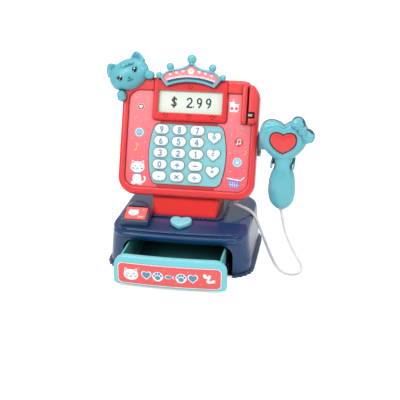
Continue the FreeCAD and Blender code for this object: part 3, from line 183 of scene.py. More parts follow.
# ---------------------------------------------------------------- kinds of material
def plastic(name, rgb, rough=0.30, coat=0.25, coat_rough=0.12, specular=0.5, grain=0.05,
            vary=0.035, wear=0.06, scatter=0.0, shade_reach=0.0042, shade_tint=0.22, edge=0.00045):
    """Moulded plastic: faint grain, slow colour drift, uneven polish, rubbed edges and painted shade.

    Painted shade darkens creases and hollows within a set distance (m) to a set tint;
    edge is the radius (m) that shading rounds edges by.
    """
    material, tree, shader = new_material(name)
    coords = object_coords(tree)
    base = linear(rgb)
    drift = noise(tree, coords, scale=22.0, detail=2.0)
    color = mix(tree, ramp(tree, drift), shade(base, 1 - vary), shade(base, 1 + vary))
    fine = noise(tree, coords, scale=420.0, detail=4.0, roughness=0.6)
    mottle = ramp(tree, fine, span=(0.4, 0.75), to=(0.0, vary * 0.6))
    color = mix(tree, mottle, color, shade(base, 0.9))
    pointiness = add_node(tree, "NewGeometry").outputs["Pointiness"]
    pale = (*(min(1, c * 0.6 + 0.4) for c in base[:3]), 1)
    color = mix(tree, ramp(tree, pointiness, span=(0.52, 0.62), to=(0.0, wear)), color, pale)
    # painted shade: ambient occlusion darkens the colour in creases and hollows
    if shade_reach:
        color = paint_occlusion_shade(tree, color, distance=shade_reach, tint=shade_tint)
    polish = noise(tree, coords, scale=90.0)
    grain_bump = bump(tree, noise(tree, coords, scale=1400.0, detail=2.0),
                      strength=grain, distance=0.0002)
    if edge:
        fill(tree, grain_bump, {"Normal": rounded_normal(tree, edge)})
    wave_bump = bump(tree, noise(tree, coords, scale=38.0, detail=1.0),
                     strength=0.012, distance=0.0015)
    fill(tree, wave_bump, {"Normal": grain_bump.outputs[0]})
    fill(tree, shader, {
        "Base Color": color,
        "Roughness": ramp(tree, polish, to=(rough * 0.92, rough * 1.1)),
        "Normal": wave_bump.outputs[0],
        "Coat Weight": coat,
        "Coat Roughness": coat_rough,
        "Specular IOR Level": specular})
    if scatter:
        fill(tree, shader, {
            "Subsurface Weight": scatter,
            "Subsurface Radius": (0.004, 0.003, 0.003),
            "Subsurface Scale": 0.5})
    return material


def film(name, rgb, top_rgb=None, speck=0.35, rough=0.38, crevice_shading=True):
    """Printed film: a tint that drifts with height, tiny pale flecks, painted shade in creases and a
    satin laminate.
    """
    material, tree, shader = new_material(name)
    coords = object_coords(tree)
    low, high = linear(rgb), linear(top_rgb or rgb)
    height = add_node(tree, "SeparateXYZ", {0: coords}).outputs[2]
    color = mix(tree, ramp(tree, height, span=(0.09, 0.20)), low, high)
    cells = add_node(tree, "TexVoronoi", {"Scale": 210.0, "Vector": coords})
    dots = ramp(tree, cells.outputs["Distance"], span=(0.10, 0.17), to=(speck, 0.0))
    patches = ramp(tree, noise(tree, coords, scale=60.0, detail=1.0), span=(0.52, 0.60))
    color = mix(tree, multiply(tree, dots, patches), color, (1, 0.93, 0.93, 1))
    fine = noise(tree, coords, scale=900.0)
    color = mix(tree, ramp(tree, fine, span=(0.35, 0.75), to=(0.0, 0.08)), color, shade(low, 0.75))
    # painted shade in the film's creases and hollows
    if crevice_shading:
        color = paint_occlusion_shade(tree, color, distance=0.0022, tint=0.42)
    polish = noise(tree, coords, scale=70.0, detail=2.0)
    grain = bump(tree, noise(tree, coords, scale=1600.0, detail=2.0),
                 strength=0.05, distance=0.0001)
    fill(tree, shader, {
        "Base Color": color,
        "Roughness": ramp(tree, polish, to=(rough * 0.85, rough * 1.2)),
        "Normal": grain.outputs[0],
        "Coat Weight": 0.2})
    return material


def ink(name, rgb, rough=0.45):
    """Printed ink with halftone-like unevenness."""
    material, tree, shader = new_material(name)
    coords = object_coords(tree)
    base = linear(rgb)
    blotches = ramp(tree, noise(tree, coords, scale=1100.0), span=(0.35, 0.7), to=(0.0, 0.16))
    polish = noise(tree, coords, scale=260.0, detail=2.0)
    fill(tree, shader, {
        "Base Color": mix(tree, blotches, base, shade(base, 0.72)),
        "Roughness": ramp(tree, polish, to=(rough * 0.8, rough * 1.2))})
    return material


def metal(name, rgb, rough):
    """Metal with fine streaks across its height."""
    material, tree, shader = new_material(name)
    base = linear(rgb)
    stretch = add_node(tree, "Mapping", {"Scale": (1.0, 1.0, 14.0), 0: object_coords(tree)})
    streaks = noise(tree, stretch.outputs[0], scale=300.0, detail=4.0)
    fill(tree, shader, {
        "Base Color": mix(tree, streaks, shade(base, 0.8), shade(base, 1.1)),
        "Roughness": ramp(tree, streaks, to=(rough * 0.7, rough * 1.4)),
        "Metallic": 1.0})
    return material


def clear_cover(name):
    """Thin clear sheet: transparent, with reflections on its front faces only."""
    material, tree, output = empty_material(name)
    through = add_node(tree, "BsdfTransparent", {0: (0.96, 0.98, 0.97, 1)})
    polish = noise(tree, object_coords(tree), scale=120.0, detail=2.0)
    gloss = add_node(tree, "BsdfGlossy", {"Roughness": ramp(tree, polish, to=(0.04, 0.09))})
    fresnel = add_node(tree, "Fresnel", {"IOR": 1.30})
    backfacing = add_node(tree, "NewGeometry").outputs["Backfacing"]
    facing = ramp(tree, backfacing, span=(0.0, 1.0), to=(1.0, 0.0))
    blend = add_node(tree, "MixShader", {
        0: multiply(tree, fresnel.outputs[0], facing),
        1: through.outputs[0],
        2: gloss.outputs[0]})
    tree.links.new(blend.outputs[0], output.inputs[0])
    return material


def lcd_film_painted_glow():
    """Display face with a painted glow: a faint emission brightens it, though the display gives no
    light.
    """
    material = film("lcd_face", (226, 232, 222), (230, 236, 226), speck=0.0, rough=0.3,
                    crevice_shading=False)
    fill(material.node_tree, principled(material), {
        "Emission Color": (1.0, 1.0, 0.96, 1.0),
        "Emission Strength": 0.20})
    return material


def floor_ink():
    """Matt white that glows for the camera only, so the floor reads as pure white."""
    material = ink("floor_white", (250, 250, 250), rough=0.9)
    tree = material.node_tree
    seen = add_node(tree, "LightPath").outputs["Is Camera Ray"]
    fill(tree, principled(material), {
        "Specular IOR Level": 0.1,
        "Emission Color": (1, 1, 1, 1),
        "Emission Strength": ramp(tree, seen, span=(0.0, 1.0), to=(0.0, 0.55))})
    return material


# ---------------------------------------------------------------- materials
RED = plastic("red_shell", (236, 58, 60), rough=0.25, coat=0.35, scatter=0.02)
NECK_RED = plastic("neck_red", (255, 52, 48), coat=0.12, specular=0.25, wear=0.02, vary=0.02)
BEZEL_RED = plastic("bezel_red", (232, 46, 50), rough=0.28, coat=0.18, specular=0.35, wear=0.04)
NAVY = plastic("navy_shell", (3, 60, 108), rough=0.19, coat=0.50, coat_rough=0.05, vary=0.05,
               wear=0.08, specular=0.30)
NAVY_DARK = plastic("navy_dark", (12, 24, 44), rough=0.42, coat=0.1, specular=0.3)
TEAL = plastic("teal_trim", (102, 190, 204), rough=0.20, coat=0.6, scatter=0.04)
TEAL_SOFT = plastic("teal_soft", (100, 186, 200), rough=0.34, coat=0.14, scatter=0.04,
                    specular=0.4)
# darker teal as painted shade: the scanner's rear half, the bow's rear discs and the kitten's nose
# and mouth
TEAL_SHADED = plastic("teal_painted_shade", (38, 96, 116), coat=0.3)
AQUA = plastic("aqua_drawer", (116, 210, 220), rough=0.22, coat=0.5, scatter=0.04)
# the tray's long reach of painted shade darkens its whole inside
TRAY = plastic("aqua_tray", (104, 200, 202), coat=0.3, shade_reach=0.045, shade_tint=0.12)
KEYPAD = plastic("keypad_teal", (132, 203, 210), rough=0.33)
WHITE = plastic("white_key", (240, 246, 248), coat=0.3, vary=0.02, scatter=0.08)
BUTTON = plastic("button_cyan", (138, 218, 232), rough=0.24, coat=0.4, scatter=0.05, shade_reach=0.0016)
# a little darker than the scanner's teal: painted shade for the bracket in the scanner's shadow
BRACKET = plastic("bracket_teal", (92, 172, 186), coat=0.3)
BLACK = plastic("black_plastic", (22, 24, 30), rough=0.38)
PAD_BLUE = plastic("pad_blue", (38, 64, 98), rough=0.28, coat=0.4)
EYE = plastic("eye_black", (8, 8, 12), rough=0.12, coat=0.3, grain=0.0, vary=0.01, wear=0.0,
              specular=0.3, shade_reach=0, edge=0)
PINK = film("pink_film", (246, 98, 108), (250, 138, 146))
DRAWER_PINK = film("drawer_film", (238, 92, 92))
FILM_WHITE = film("white_film", (246, 248, 250), speck=0.0)
INK_WHITE = ink("ink_white", (250, 250, 252))
INK_BLUE = ink("ink_blue", (150, 205, 226))
INK_STEEL_BLUE = ink("ink_steel_blue", (86, 150, 184))
INK_NAVY = ink("ink_navy", (34, 72, 104))
INK_ROSE_BROWN = ink("ink_rose_brown", (196, 86, 88))
INK_LILAC = ink("ink_lilac", (150, 130, 200))
INK_YELLOW = ink("ink_yellow", (246, 206, 120))
INK_PINK = ink("ink_pink", (244, 150, 160))
INK_KEY = ink("ink_key_blue", (96, 148, 186))
INK_DARK = ink("ink_dark", (34, 44, 54))
LCD = lcd_film_painted_glow()
STEEL = metal("screw_steel", (190, 192, 198), rough=0.28)
RUBBER = plastic("soft_pvc", (230, 229, 234), rough=0.42, coat=0.05, vary=0.03, grain=0.08)
GREEN = plastic("board_green", (30, 96, 60), rough=0.4)
CELL = plastic("cell_jacket", (44, 92, 160), rough=0.25)
CLEAR = clear_cover("clear_cover")


# ---------------------------------------------------------------- outlines (N x 2 arrays)
def arc(cx, cy, rx, ry, start, end, n):
    t = np.radians(np.linspace(start, end, n))
    return np.c_[cx + rx * np.cos(t), cy + ry * np.sin(t)]


def ellipse(cx, cy, rx, ry, n):
    return arc(cx, cy, rx, ry, 0, 360, n + 1)[:-1]


def rounded_rect(x0, x1, y0, y1, radius, n):
    """radius is one number or four: x0y0, x1y0, x1y1, x0y1."""
    radii = radius if isinstance(radius, tuple) else (radius,) * 4
    a, b, c, d = (max(r, 0.02) for r in radii)
    return np.vstack([arc(x1 - b, y0 + b, b, b, -90, 0, n), arc(x1 - c, y1 - c, c, c, 0, 90, n),
                      arc(x0 + d, y1 - d, d, d, 90, 180, n),
                      arc(x0 + a, y0 + a, a, a, 180, 270, n)])


def shrinking_rect(x0, x1, y0, y1, radius, n, tighten=1):
    """Outline as a function of inset; tighten=0 keeps the corner radius."""
    return lambda d: rounded_rect(x0 + d, x1 - d, y0 + d, y1 - d, radius - tighten * d, n)


def stadium(cx, cy, w, h, n):
    return rounded_rect(cx - w / 2, cx + w / 2, cy - h / 2, cy + h / 2, h / 2 - 0.01, n)


def bezier(points, n):
    t = np.linspace(0, 1, n)[:, None]
    p = np.array(points, float)
    return ((1 - t) ** 3 * p[0] + 3 * (1 - t) ** 2 * t * p[1]
            + 3 * (1 - t) * t * t * p[2] + t ** 3 * p[3])


def mirrored(right):
    """Close a right half, given clockwise from top to bottom, with its mirror image."""
    return np.vstack([right, right[1:-1][::-1] * [-1, 1]])[::-1]


# Right half of a unit heart, as two Bezier curves from the notch to the tip.
SLIM_HEART = (((0, 0.29), (0.08, 0.47), (0.5, 0.58), (0.5, 0.15)),
              ((0.5, 0.15), (0.5, -0.12), (0.2, -0.3), (0, -0.5)))
PLUMP_HEART = (((0, 0.36), (0.10, 0.51), (0.5, 0.60), (0.5, 0.16)),
               ((0.5, 0.16), (0.5, -0.16), (0.24, -0.38), (0, -0.5)))


def heart(cx, cy, w, h, plump=False, n=18):
    upper, lower = PLUMP_HEART if plump else SLIM_HEART
    right = np.vstack([bezier(upper, n)[:-1], bezier(lower, n)])
    return mirrored(right) * [w, h] + [cx, cy]


def arc_through(first, middle, last, n):
    """Circular arc from first to last by way of middle."""
    a, m, b = (np.array(p, float) for p in (first, middle, last))
    d = 2 * (a[0] * (m[1] - b[1]) + m[0] * (b[1] - a[1]) + b[0] * (a[1] - m[1]))
    aa, mm, bb = a @ a, m @ m, b @ b
    centre = np.array([(aa * (m[1] - b[1]) + mm * (b[1] - a[1]) + bb * (a[1] - m[1])) / d,
                       (aa * (b[0] - m[0]) + mm * (a[0] - b[0]) + bb * (m[0] - a[0])) / d])
    start, via, end = (math.atan2(*(p - centre)[::-1]) for p in (a, m, b))
    sweep = (end - start) % TAU
    if (via - start) % TAU > sweep:
        sweep -= TAU
    t = start + np.linspace(0, sweep, n)
    return centre + np.linalg.norm(a - centre) * np.c_[np.cos(t), np.sin(t)]


def superellipse(n, power):
    """Unit superellipse as its x and y coordinates."""
    t = np.linspace(0, TAU, n, endpoint=False)
    return [np.sign(wave) * np.abs(wave) ** (2 / power) for wave in (np.cos(t), np.sin(t))]


def unit_rows(v):
    return v / np.maximum(np.linalg.norm(v, axis=1), 1e-9)[:, None]


def inset(outline, d, middle=None):
    """Closed outline moved inwards by d; middle keeps mirrored halves on their own sides."""
    p = np.asarray(outline, float)
    if abs(d) < 1e-9:
        return p.copy()
    x, y = p[:, 0], p[:, 1]
    double_area = np.sum(x * np.roll(y, -1) - np.roll(x, -1) * y)
    edge = unit_rows(np.roll(p, -1, 0) - p)
    normal = np.c_[edge[:, 1], -edge[:, 0]] * (1.0 if double_area > 0 else -1.0)
    mitre = unit_rows(normal + np.roll(normal, 1, 0))
    cosine = np.clip(np.sum(mitre * normal, axis=1), 0.45, 1.0)
    q = p - mitre * (d / cosine)[:, None]
    if middle is not None:
        right = x > middle + 1e-6
        left = x < middle - 1e-6
        q[right, 0] = np.maximum(q[right, 0], middle)
        q[left, 0] = np.minimum(q[left, 0], middle)
        q[~(right | left), 0] = middle
    return q


# ---------------------------------------------------------------- open paths
def straight_path(points, step=0.08):
    """Straight segments cut into short pieces for clean corners."""
    p = np.asarray(points, float)
    pieces = []
    for a, b in zip(p[:-1], p[1:]):
        n = max(2, int(np.linalg.norm(b - a) / step))
        pieces.append(a + (b - a) * np.linspace(0, 1, n, endpoint=False)[:, None])
    return np.vstack([*pieces, p[-1][None]])


def smooth_path(points, step=0.06):
    """Catmull-Rom curve through the points."""
    p = np.asarray(points, float)
    q = np.vstack([2 * p[0] - p[1], p, 2 * p[-1] - p[-2]])
    pieces = []
    for i in range(1, len(q) - 2):
        a, b, c, d = q[i - 1:i + 3]
        n = max(3, int(np.linalg.norm(c - b) / step))
        t = np.linspace(0, 1, n, endpoint=False)[:, None]
        pieces.append(0.5 * (2 * b + (c - a) * t + (2 * a - 5 * b + 4 * c - d) * t ** 2
                             + (3 * b - a - 3 * c + d) * t ** 3))
    return np.vstack([*pieces, p[-1][None]])


# ---------------------------------------------------------------- shapes: (vertices, faces)
def lift(outline, z):
    return np.c_[outline, np.full(len(outline), float(z))]


def bridge(rings, ends="capped"):
    """Skin over a stack of rings; ends are "capped", "open" or "joined" last to first."""
    n = len(rings[0])
    last = (len(rings) - 1) * n
    faces = []
    for a in range(0, last, n):
        b = a + n
        for j in range(n):
            k = (j + 1) % n
            faces.append((a + j, a + k, b + k, b + j))
    if ends == "capped":
        faces.append(tuple(range(n))[::-1])
        faces.append(tuple(range(last, last + n)))
    if ends == "joined":
        faces += [(j, (j + 1) % n, last + (j + 1) % n, last + j) for j in range(n)]
    return np.vstack(rings), faces


def quarter_round(radius, steps):
    """(inset, drop) pairs from the wall to the top."""
    t = np.radians(np.linspace(0, 90, steps + 1))
    return [(radius * (1 - math.cos(a)), radius * (1 - math.sin(a))) for a in t]


def rim(outline_at, top, radius, steps):
    """Rings of a rounded upper edge."""
    return [lift(outline_at(d), top - drop) for d, drop in quarter_round(radius, steps)]


def dome(ring, z, height):
    """Shrinking rings that crown the flat top bounded by ring."""
    edge = ring[:, :2]
    centre = edge.mean(0)
    return [lift(centre + (edge - centre) * t, z + height * (1 - t * t))
            for t in np.linspace(1, 0.12, 6)[1:]]


def solid(outline, bottom, top, round_top=0.0, round_bottom=0.0, crown=0.0, middle=None, steps=5):
    """Extruded outline, given as points or as a function of inset."""
    outline_at = outline if callable(outline) else (lambda d: inset(outline, d, middle))
    if round_bottom > 0:
        rings = [lift(outline_at(d), bottom + rise)
                 for d, rise in reversed(quarter_round(round_bottom, steps))]
    else:
        rings = [lift(outline_at(0), bottom)]
    if round_top > 0:
        rings += rim(outline_at, top, round_top, steps)
    else:
        rings.append(lift(outline_at(0), top))
    if crown:
        rings += dome(rings[-1], top, crown)
    return bridge(rings)


def ribbon(points, half_width, bottom, top, closed=False):
    """Flat band along a path; open bands get round ends."""
    p = np.asarray(points, float)
    if closed:
        tangent = np.roll(p, -1, 0) - np.roll(p, 1, 0)
        width = np.full(len(p), half_width)
    else:
        tangent = np.gradient(p, axis=0)
        d0, d1 = (t / np.linalg.norm(t) for t in (tangent[0], tangent[-1]))
        angles = np.radians([86, 66, 45, 22])
        reach = half_width * np.sin(angles)[:, None]
        cap_width = half_width * np.cos(angles)
        p = np.vstack([p[0] - d0 * reach, p, p[-1] + d1 * reach[::-1]])
        tangent = np.vstack([np.repeat(d0[None], 4, 0), tangent, np.repeat(d1[None], 4, 0)])
        width = np.concatenate([cap_width, np.full(len(p) - 8, half_width), cap_width[::-1]])
    tangent = unit_rows(tangent)
    side = np.c_[-tangent[:, 1], tangent[:, 0]] * width[:, None]
    left, right = p + side, p - side
    n = len(p)
    verts = np.vstack([lift(left, top), lift(right, top), lift(right, bottom),
                       lift(left, bottom)])
    faces = []
    for i in range(n if closed else n - 1):
        j = (i + 1) % n
        for a in range(4):
            b = (a + 1) % 4
            faces.append((a * n + i, b * n + i, b * n + j, a * n + j))
    if not closed:
        faces += [(0, n, 2 * n, 3 * n), (n - 1, 2 * n - 1, 3 * n - 1, 4 * n - 1)]
    return verts, faces


def ball(centre, radii, segments=32, rings=20):
    """Ellipsoid."""
    rx, ry, rz = radii
    around = np.arange(segments) * TAU / segments
    stack = []
    for i in range(rings + 1):
        down = math.pi * i / rings
        ring = np.c_[rx * math.sin(down) * np.cos(around), ry * math.sin(down) * np.sin(around),
                     np.full(segments, rz * math.cos(down))]
        stack.append(ring + np.array(centre))
    return bridge(stack, ends="open")


def tube(points, radius, sides):
    """Round tube along a 3D path; radius is one number or one per point."""
    p = np.asarray(points, float)
    radii = np.broadcast_to(radius, len(p))
    tangent = unit_rows(np.gradient(p, axis=0))
    normal = np.cross(tangent[0], [0.3, 0.1, 1.0])
    normal /= np.linalg.norm(normal)
    a = np.linspace(0, TAU, sides, endpoint=False)
    rings = []
    for point, along, r in zip(p, tangent, radii):
        normal = normal - along * (normal @ along)
        normal /= np.linalg.norm(normal)
        other = np.cross(along, normal)
        rings.append(point + r * (np.cos(a)[:, None] * normal + np.sin(a)[:, None] * other))
    return bridge(rings)


def turn(degrees):
    """Rotation about z as a 3x3 array."""
    c, s = math.cos(rad(degrees)), math.sin(rad(degrees))
    return np.array([[c, -s, 0], [s, c, 0], [0, 0, 1.0]])


def placed(shape, degrees, centre):
    verts, faces = shape
    return np.asarray(verts) @ turn(degrees).T + np.array(centre), faces


def join(shapes):
    """Many closed shapes as one."""
    verts, faces, count = [], [], 0
    for shape_verts, shape_faces in shapes:
        verts.append(shape_verts)
        faces += [tuple(i + count for i in face) for face in shape_faces]
        count += len(shape_verts)
    return np.vstack(verts), faces


# ---------------------------------------------------------------- objects
def register(obj, body, slot, replaces):
    if body:
        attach(obj, body)
    if replaces:
        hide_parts(*replaces)


def smooth(obj, sharp):
    obj.data.shade_smooth()
    obj.data.set_sharp_from_angle(angle=rad(sharp))


def set_material(obj, material):
    obj.data.materials.clear()
    obj.data.materials.append(material)


def make(name, shape, material, body, matrix=None, sharp=38.0, slot=None, replaces=(), fold=None):
    """Build an object; faces pressed flat on the plane x = fold (in a notch) are dropped."""
    verts, faces = shape
    verts = np.asarray(verts, float)
    if matrix is not None:
        m = np.array(matrix)
        verts = verts @ m[:3, :3].T + m[:3, 3]
    mesh = bpy.data.meshes.new(name)
    mesh.from_pydata((verts * MM).tolist(), [], [list(map(int, face)) for face in faces])
    bm = bmesh.new()
    bm.from_mesh(mesh)
    bmesh.ops.remove_doubles(bm, verts=bm.verts, dist=1e-6)
    bmesh.ops.dissolve_degenerate(bm, dist=1e-7, edges=bm.edges)
    if fold is not None:
        flat = [f for f in bm.faces if all(abs(v.co.x - fold * MM) < 2e-6 for v in f.verts)]
        bmesh.ops.delete(bm, geom=flat, context='FACES')
    bmesh.ops.recalc_face_normals(bm, faces=bm.faces)
    bm.to_mesh(mesh)
    bm.free()
    mesh.materials.append(material)
    obj = bpy.data.objects.new(name, mesh)
    smooth(obj, sharp)
    bpy.context.scene.collection.objects.link(obj)
    register(obj, body, slot, replaces)
    return obj


def bake(obj):
    """Apply the modifiers."""
    graph = bpy.context.evaluated_depsgraph_get()
    mesh = bpy.data.meshes.new_from_object(obj.evaluated_get(graph), depsgraph=graph)
    obj.modifiers.clear()
    old = obj.data
    obj.data = mesh
    bpy.data.meshes.remove(old)


def cut_away(obj, shape, material, matrix):
    cutter = make("cutter", shape, material, None, matrix)
    modifier = obj.modifiers.new("cut", 'BOOLEAN')
    modifier.operation = 'DIFFERENCE'
    modifier.object = cutter
    modifier.solver = 'EXACT'
    bake(obj)
    bpy.data.objects.remove(cutter)


def soft_union(name, shapes, material, body, matrix, voxel, iterations, slot=None, replaces=()):
    """Join closed shapes into one skin: voxel remesh (size in mm), then smoothing."""
    obj = make(name, join(shapes), material, None, matrix)
    remesh = obj.modifiers.new("remesh", 'REMESH')
    remesh.mode = 'VOXEL'
    remesh.voxel_size = voxel * MM * 1.0
    remesh.use_smooth_shade = True
    relax = obj.modifiers.new("relax", 'SMOOTH')
    relax.factor = 0.5
    relax.iterations = iterations
    bake(obj)
    set_material(obj, material)
    obj.data.shade_smooth()
    register(obj, body, slot, replaces)
    return obj


def make_on_drawer(name, shape, material, body, **options):
    """make() for a shape given as (x, height, distance out) and bent onto the drawer's front."""
    column = 5.0      # the shape is cut at this spacing in x so that it can bend
    verts, faces = shape
    mesh = bpy.data.meshes.new("flat")
    mesh.from_pydata(np.asarray(verts).tolist(), [], [list(map(int, face)) for face in faces])
    bm = bmesh.new()
    bm.from_mesh(mesh)
    x = math.ceil(min(v.co.x for v in bm.verts) / column) * column
    x_end = max(v.co.x for v in bm.verts)
    while x < x_end:
        bmesh.ops.bisect_plane(bm, geom=bm.verts[:] + bm.edges[:] + bm.faces[:],
                               plane_co=(x, 0, 0), plane_no=(1, 0, 0), dist=1e-5)
        x += column
    bm.verts.index_update()
    x, height, out = np.array([v.co[:] for v in bm.verts]).T
    faces = [[v.index for v in face.verts] for face in bm.faces]
    bm.free()
    bpy.data.meshes.remove(mesh)
    y = DRAWER_CENTRE_Y - np.sqrt((FRONT_R + out) ** 2 - x ** 2)
    return make(name, (np.c_[x, y, height], faces), material, body, **options)


# ---------------------------------------------------------------- signs on keys and display
def bar(*points):
    return straight_path(points), False


def sweep(*points):
    return smooth_path(points), False


def bend(*values):
    return arc(*values), False


def loop(*values):
    return arc(*values), True


# Strokes of each sign in a unit box, as (path, closed). 'o' is a power sign, 'c' an open ring.
SIGNS = {
    '0': [loop(0.5, 0.5, 0.30, 0.46, 0, 345, 24)],
    '1': [bar((0.5, 0.0), (0.5, 1.0)), bar((0.30, 0.80), (0.48, 0.97))],
    '2': [(np.vstack([arc(0.5, 0.70, 0.29, 0.28, 165, -35, 16),
                      straight_path([(0.70, 0.50), (0.20, 0.03)])]), False),
          bar((0.20, 0.02), (0.82, 0.02))],
    '3': [bend(0.46, 0.73, 0.27, 0.25, 150, -80, 14), bend(0.46, 0.26, 0.31, 0.26, 85, -150, 16)],
    '4': [bar((0.66, 0.0), (0.66, 0.98)), bar((0.64, 0.96), (0.18, 0.30)),
          bar((0.18, 0.29), (0.86, 0.29))],
    '5': [bar((0.76, 0.97), (0.30, 0.97)), bar((0.29, 0.95), (0.26, 0.58)),
          bend(0.46, 0.32, 0.31, 0.31, 130, -140, 18)],
    '6': [loop(0.5, 0.29, 0.28, 0.28, 0, 345, 20), sweep((0.24, 0.36), (0.34, 0.70), (0.60, 0.97))],
    '7': [bar((0.20, 0.97), (0.80, 0.97)), bar((0.79, 0.95), (0.42, 0.0))],
    '8': [loop(0.5, 0.74, 0.23, 0.23, 0, 345, 18), loop(0.5, 0.27, 0.28, 0.27, 0, 345, 20)],
    '9': [loop(0.5, 0.70, 0.27, 0.27, 0, 345, 20), sweep((0.76, 0.66), (0.70, 0.30), (0.46, 0.03))],
    '+': [bar((0.5, 0.15), (0.5, 0.85)), bar((0.15, 0.5), (0.85, 0.5))],
    '-': [bar((0.15, 0.5), (0.85, 0.5))],
    '.': [bar((0.49, 0.06), (0.51, 0.06))],
    '*': [bar((0.2, 0.2), (0.8, 0.8)), bar((0.2, 0.8), (0.8, 0.2))],
    '/': [bar((0.15, 0.5), (0.85, 0.5)), bar((0.49, 0.84), (0.51, 0.84)),
          bar((0.49, 0.16), (0.51, 0.16))],
    '=': [bar((0.2, 0.64), (0.8, 0.64)), bar((0.2, 0.36), (0.8, 0.36))],
    '$': [sweep((0.80, 0.80), (0.62, 0.93), (0.36, 0.90), (0.24, 0.72), (0.40, 0.56), (0.66, 0.44),
                (0.78, 0.26), (0.62, 0.08), (0.36, 0.07), (0.18, 0.20)),
          bar((0.5, -0.10), (0.5, 1.10))],
    'o': [bend(0.5, 0.42, 0.36, 0.36, 125, 415, 24), bar((0.5, 0.5), (0.5, 0.95))],
    'c': [bend(0.5, 0.5, 0.36, 0.36, 45, 315, 24)],
}


def sign(char, x, y, w, h, half_width, bottom, top):
    """Strokes of one sign; each stands 0.012 above the one before, so they never coincide."""
    return [ribbon(path * [w, h] + [x, y], half_width, bottom, top + 0.012 * i, closed)
            for i, (path, closed) in enumerate(SIGNS[char])]


# ---------------------------------------------------------------- finishes of the CAD pieces
KEY_NAMES = ("9", "8", "7", "6", "5", "4", "3", "2", "1", "0", "plus", "minus",
             "point", "times", "divide")
KEY_SIGNS = "9876543210+-.*/"
HEART_KEYS = (("heart_key_on", 'o', 20.9), ("heart_key_off", 'c', 0.3),
              ("heart_key_equals", '=', -20.4))      # node, sign, y

FINISHES = (
    (NAVY, "base_shell"),
    (NAVY_DARK, "base_floor"),
    (STEEL, "shell_screws drawer_spring latch_spring head_screws battery_door_screw "
            "battery_contacts bracket_screws scanner_screws"),
    (NECK_RED, "neck_column"),
    (PAD_BLUE, "pad_housing"),
    (RED, "head_front_shell head_rear_shell battery_door pad_plate scanner_button"),
    (BEZEL_RED, "display_bezel"),
    (CLEAR, "display_window"),
    (LCD, "lcd_module"),
    (PINK, "face_labels crown_label"),
    (KEYPAD, "keypad_plate"),
    (RUBBER, "keypad_membrane cable_grommet scanner_cable"),
    (GREEN, "main_board scanner_board"),
    (BLACK, "speaker latch_lever"),
    (CELL, "batteries"),
    (TEAL, "crown cat_figure release_button scanner_front_shell scanner_rear_shell"),
    (BRACKET, "scanner_bracket"),
    (AQUA, "drawer_front"),
    (TRAY, "drawer_tray"),
    (FILM_WHITE, "drawer_label"),
    (DRAWER_PINK, "pad_label"),
    (WHITE, "swipe_lever heart_key_on heart_key_off heart_key_equals "
            + " ".join("key_" + name for name in KEY_NAMES)),
)


def paint_cad():
    for material, nodes in FINISHES:
        for node in nodes.split():
            set_material(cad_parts[node], material)


# ---------------------------------------------------------------- keys and display
KEY_W, KEY_H = 17.6, 11.8
KEY_PITCH_X, KEY_PITCH_Y = 22.0, 14.3
KEY_MIDDLE_X = -10.8
HEART_KEY_X = 32.3
KEY_BOTTOM = -3.6
LEGEND_BOTTOM = 3.9


def key_cap(node, shape, legend, fold=None):
    make("cap_" + node, shape, WHITE, node, HEAD, slot="white_key", replaces=(node,), fold=fold)
    make("sym_" + node, join(legend), INK_KEY, node, HEAD)


def number_keys():
    for i, (name, char) in enumerate(zip(KEY_NAMES, KEY_SIGNS)):
        row, column = divmod(i, 3)
        x, y = KEY_MIDDLE_X + (column - 1) * KEY_PITCH_X, (2 - row) * KEY_PITCH_Y
        cap = solid(lambda d: stadium(x, y, KEY_W - 2 * d, KEY_H - 2 * d, 14), KEY_BOTTOM, 3.75,
                    round_top=1.7, crown=0.42, steps=7)
        w, h = (5.4, 6.6) if char.isdigit() else (6.6, 6.0)
        raise_y, half_width = (2.2, 0.8) if char == '.' else (0, 0.60)
        key_cap("key_" + name, cap, sign(char, x - w / 2, y - h / 2 + raise_y, w, h, half_width,
                                         LEGEND_BOTTOM, 4.26))


def heart_keys():
    x = HEART_KEY_X
    for node, char, y in HEART_KEYS:
        cap = solid(heart(x, y, 16.8, 15.0), KEY_BOTTOM, 3.7, round_top=1.5, crown=0.45,
                    middle=x, steps=6)
        key_cap(node, cap, sign(char, x - 2.3, y - 1.6, 4.6, 4.6, 0.42, LEGEND_BOTTOM, 4.2),
                fold=x)


# sign, left x, width, height, half stroke
DIGITS = (('$', -24.6, 8.8, 10.6, 0.92), ('2', -6.0, 9.4, 11.4, 0.92), ('.', 2.4, 3.0, 11.4, 0.9),
          ('9', 6.4, 9.0, 11.4, 0.92), ('9', 17.6, 9.0, 11.4, 0.92))
DISPLAY_Y = 62.4


def display_digits():
    strokes = []
    for char, x, w, h, half_width in DIGITS:
        strokes += sign(char, x, DISPLAY_Y - h / 2, w, h, half_width, -0.42, -0.30)
    make("display_digits", join(strokes), INK_DARK, "base", HEAD)


# ---------------------------------------------------------------- card channel
CHANNEL_Y0 = 39.2      # lower end of the ridge and the wall


def wall_outline(d):
    """The outer wall's upper right corner is the fullest and its left side leans in."""
    radii = (0.6, max(5.4 - d, 0.6), min(9.8 - d, 9.5 - 1.35 * d), 0.6)
    return rounded_rect(71.75 + d * 0.35, 82.0 - d, CHANNEL_Y0 + d, 85.0 - d, radii, 8)


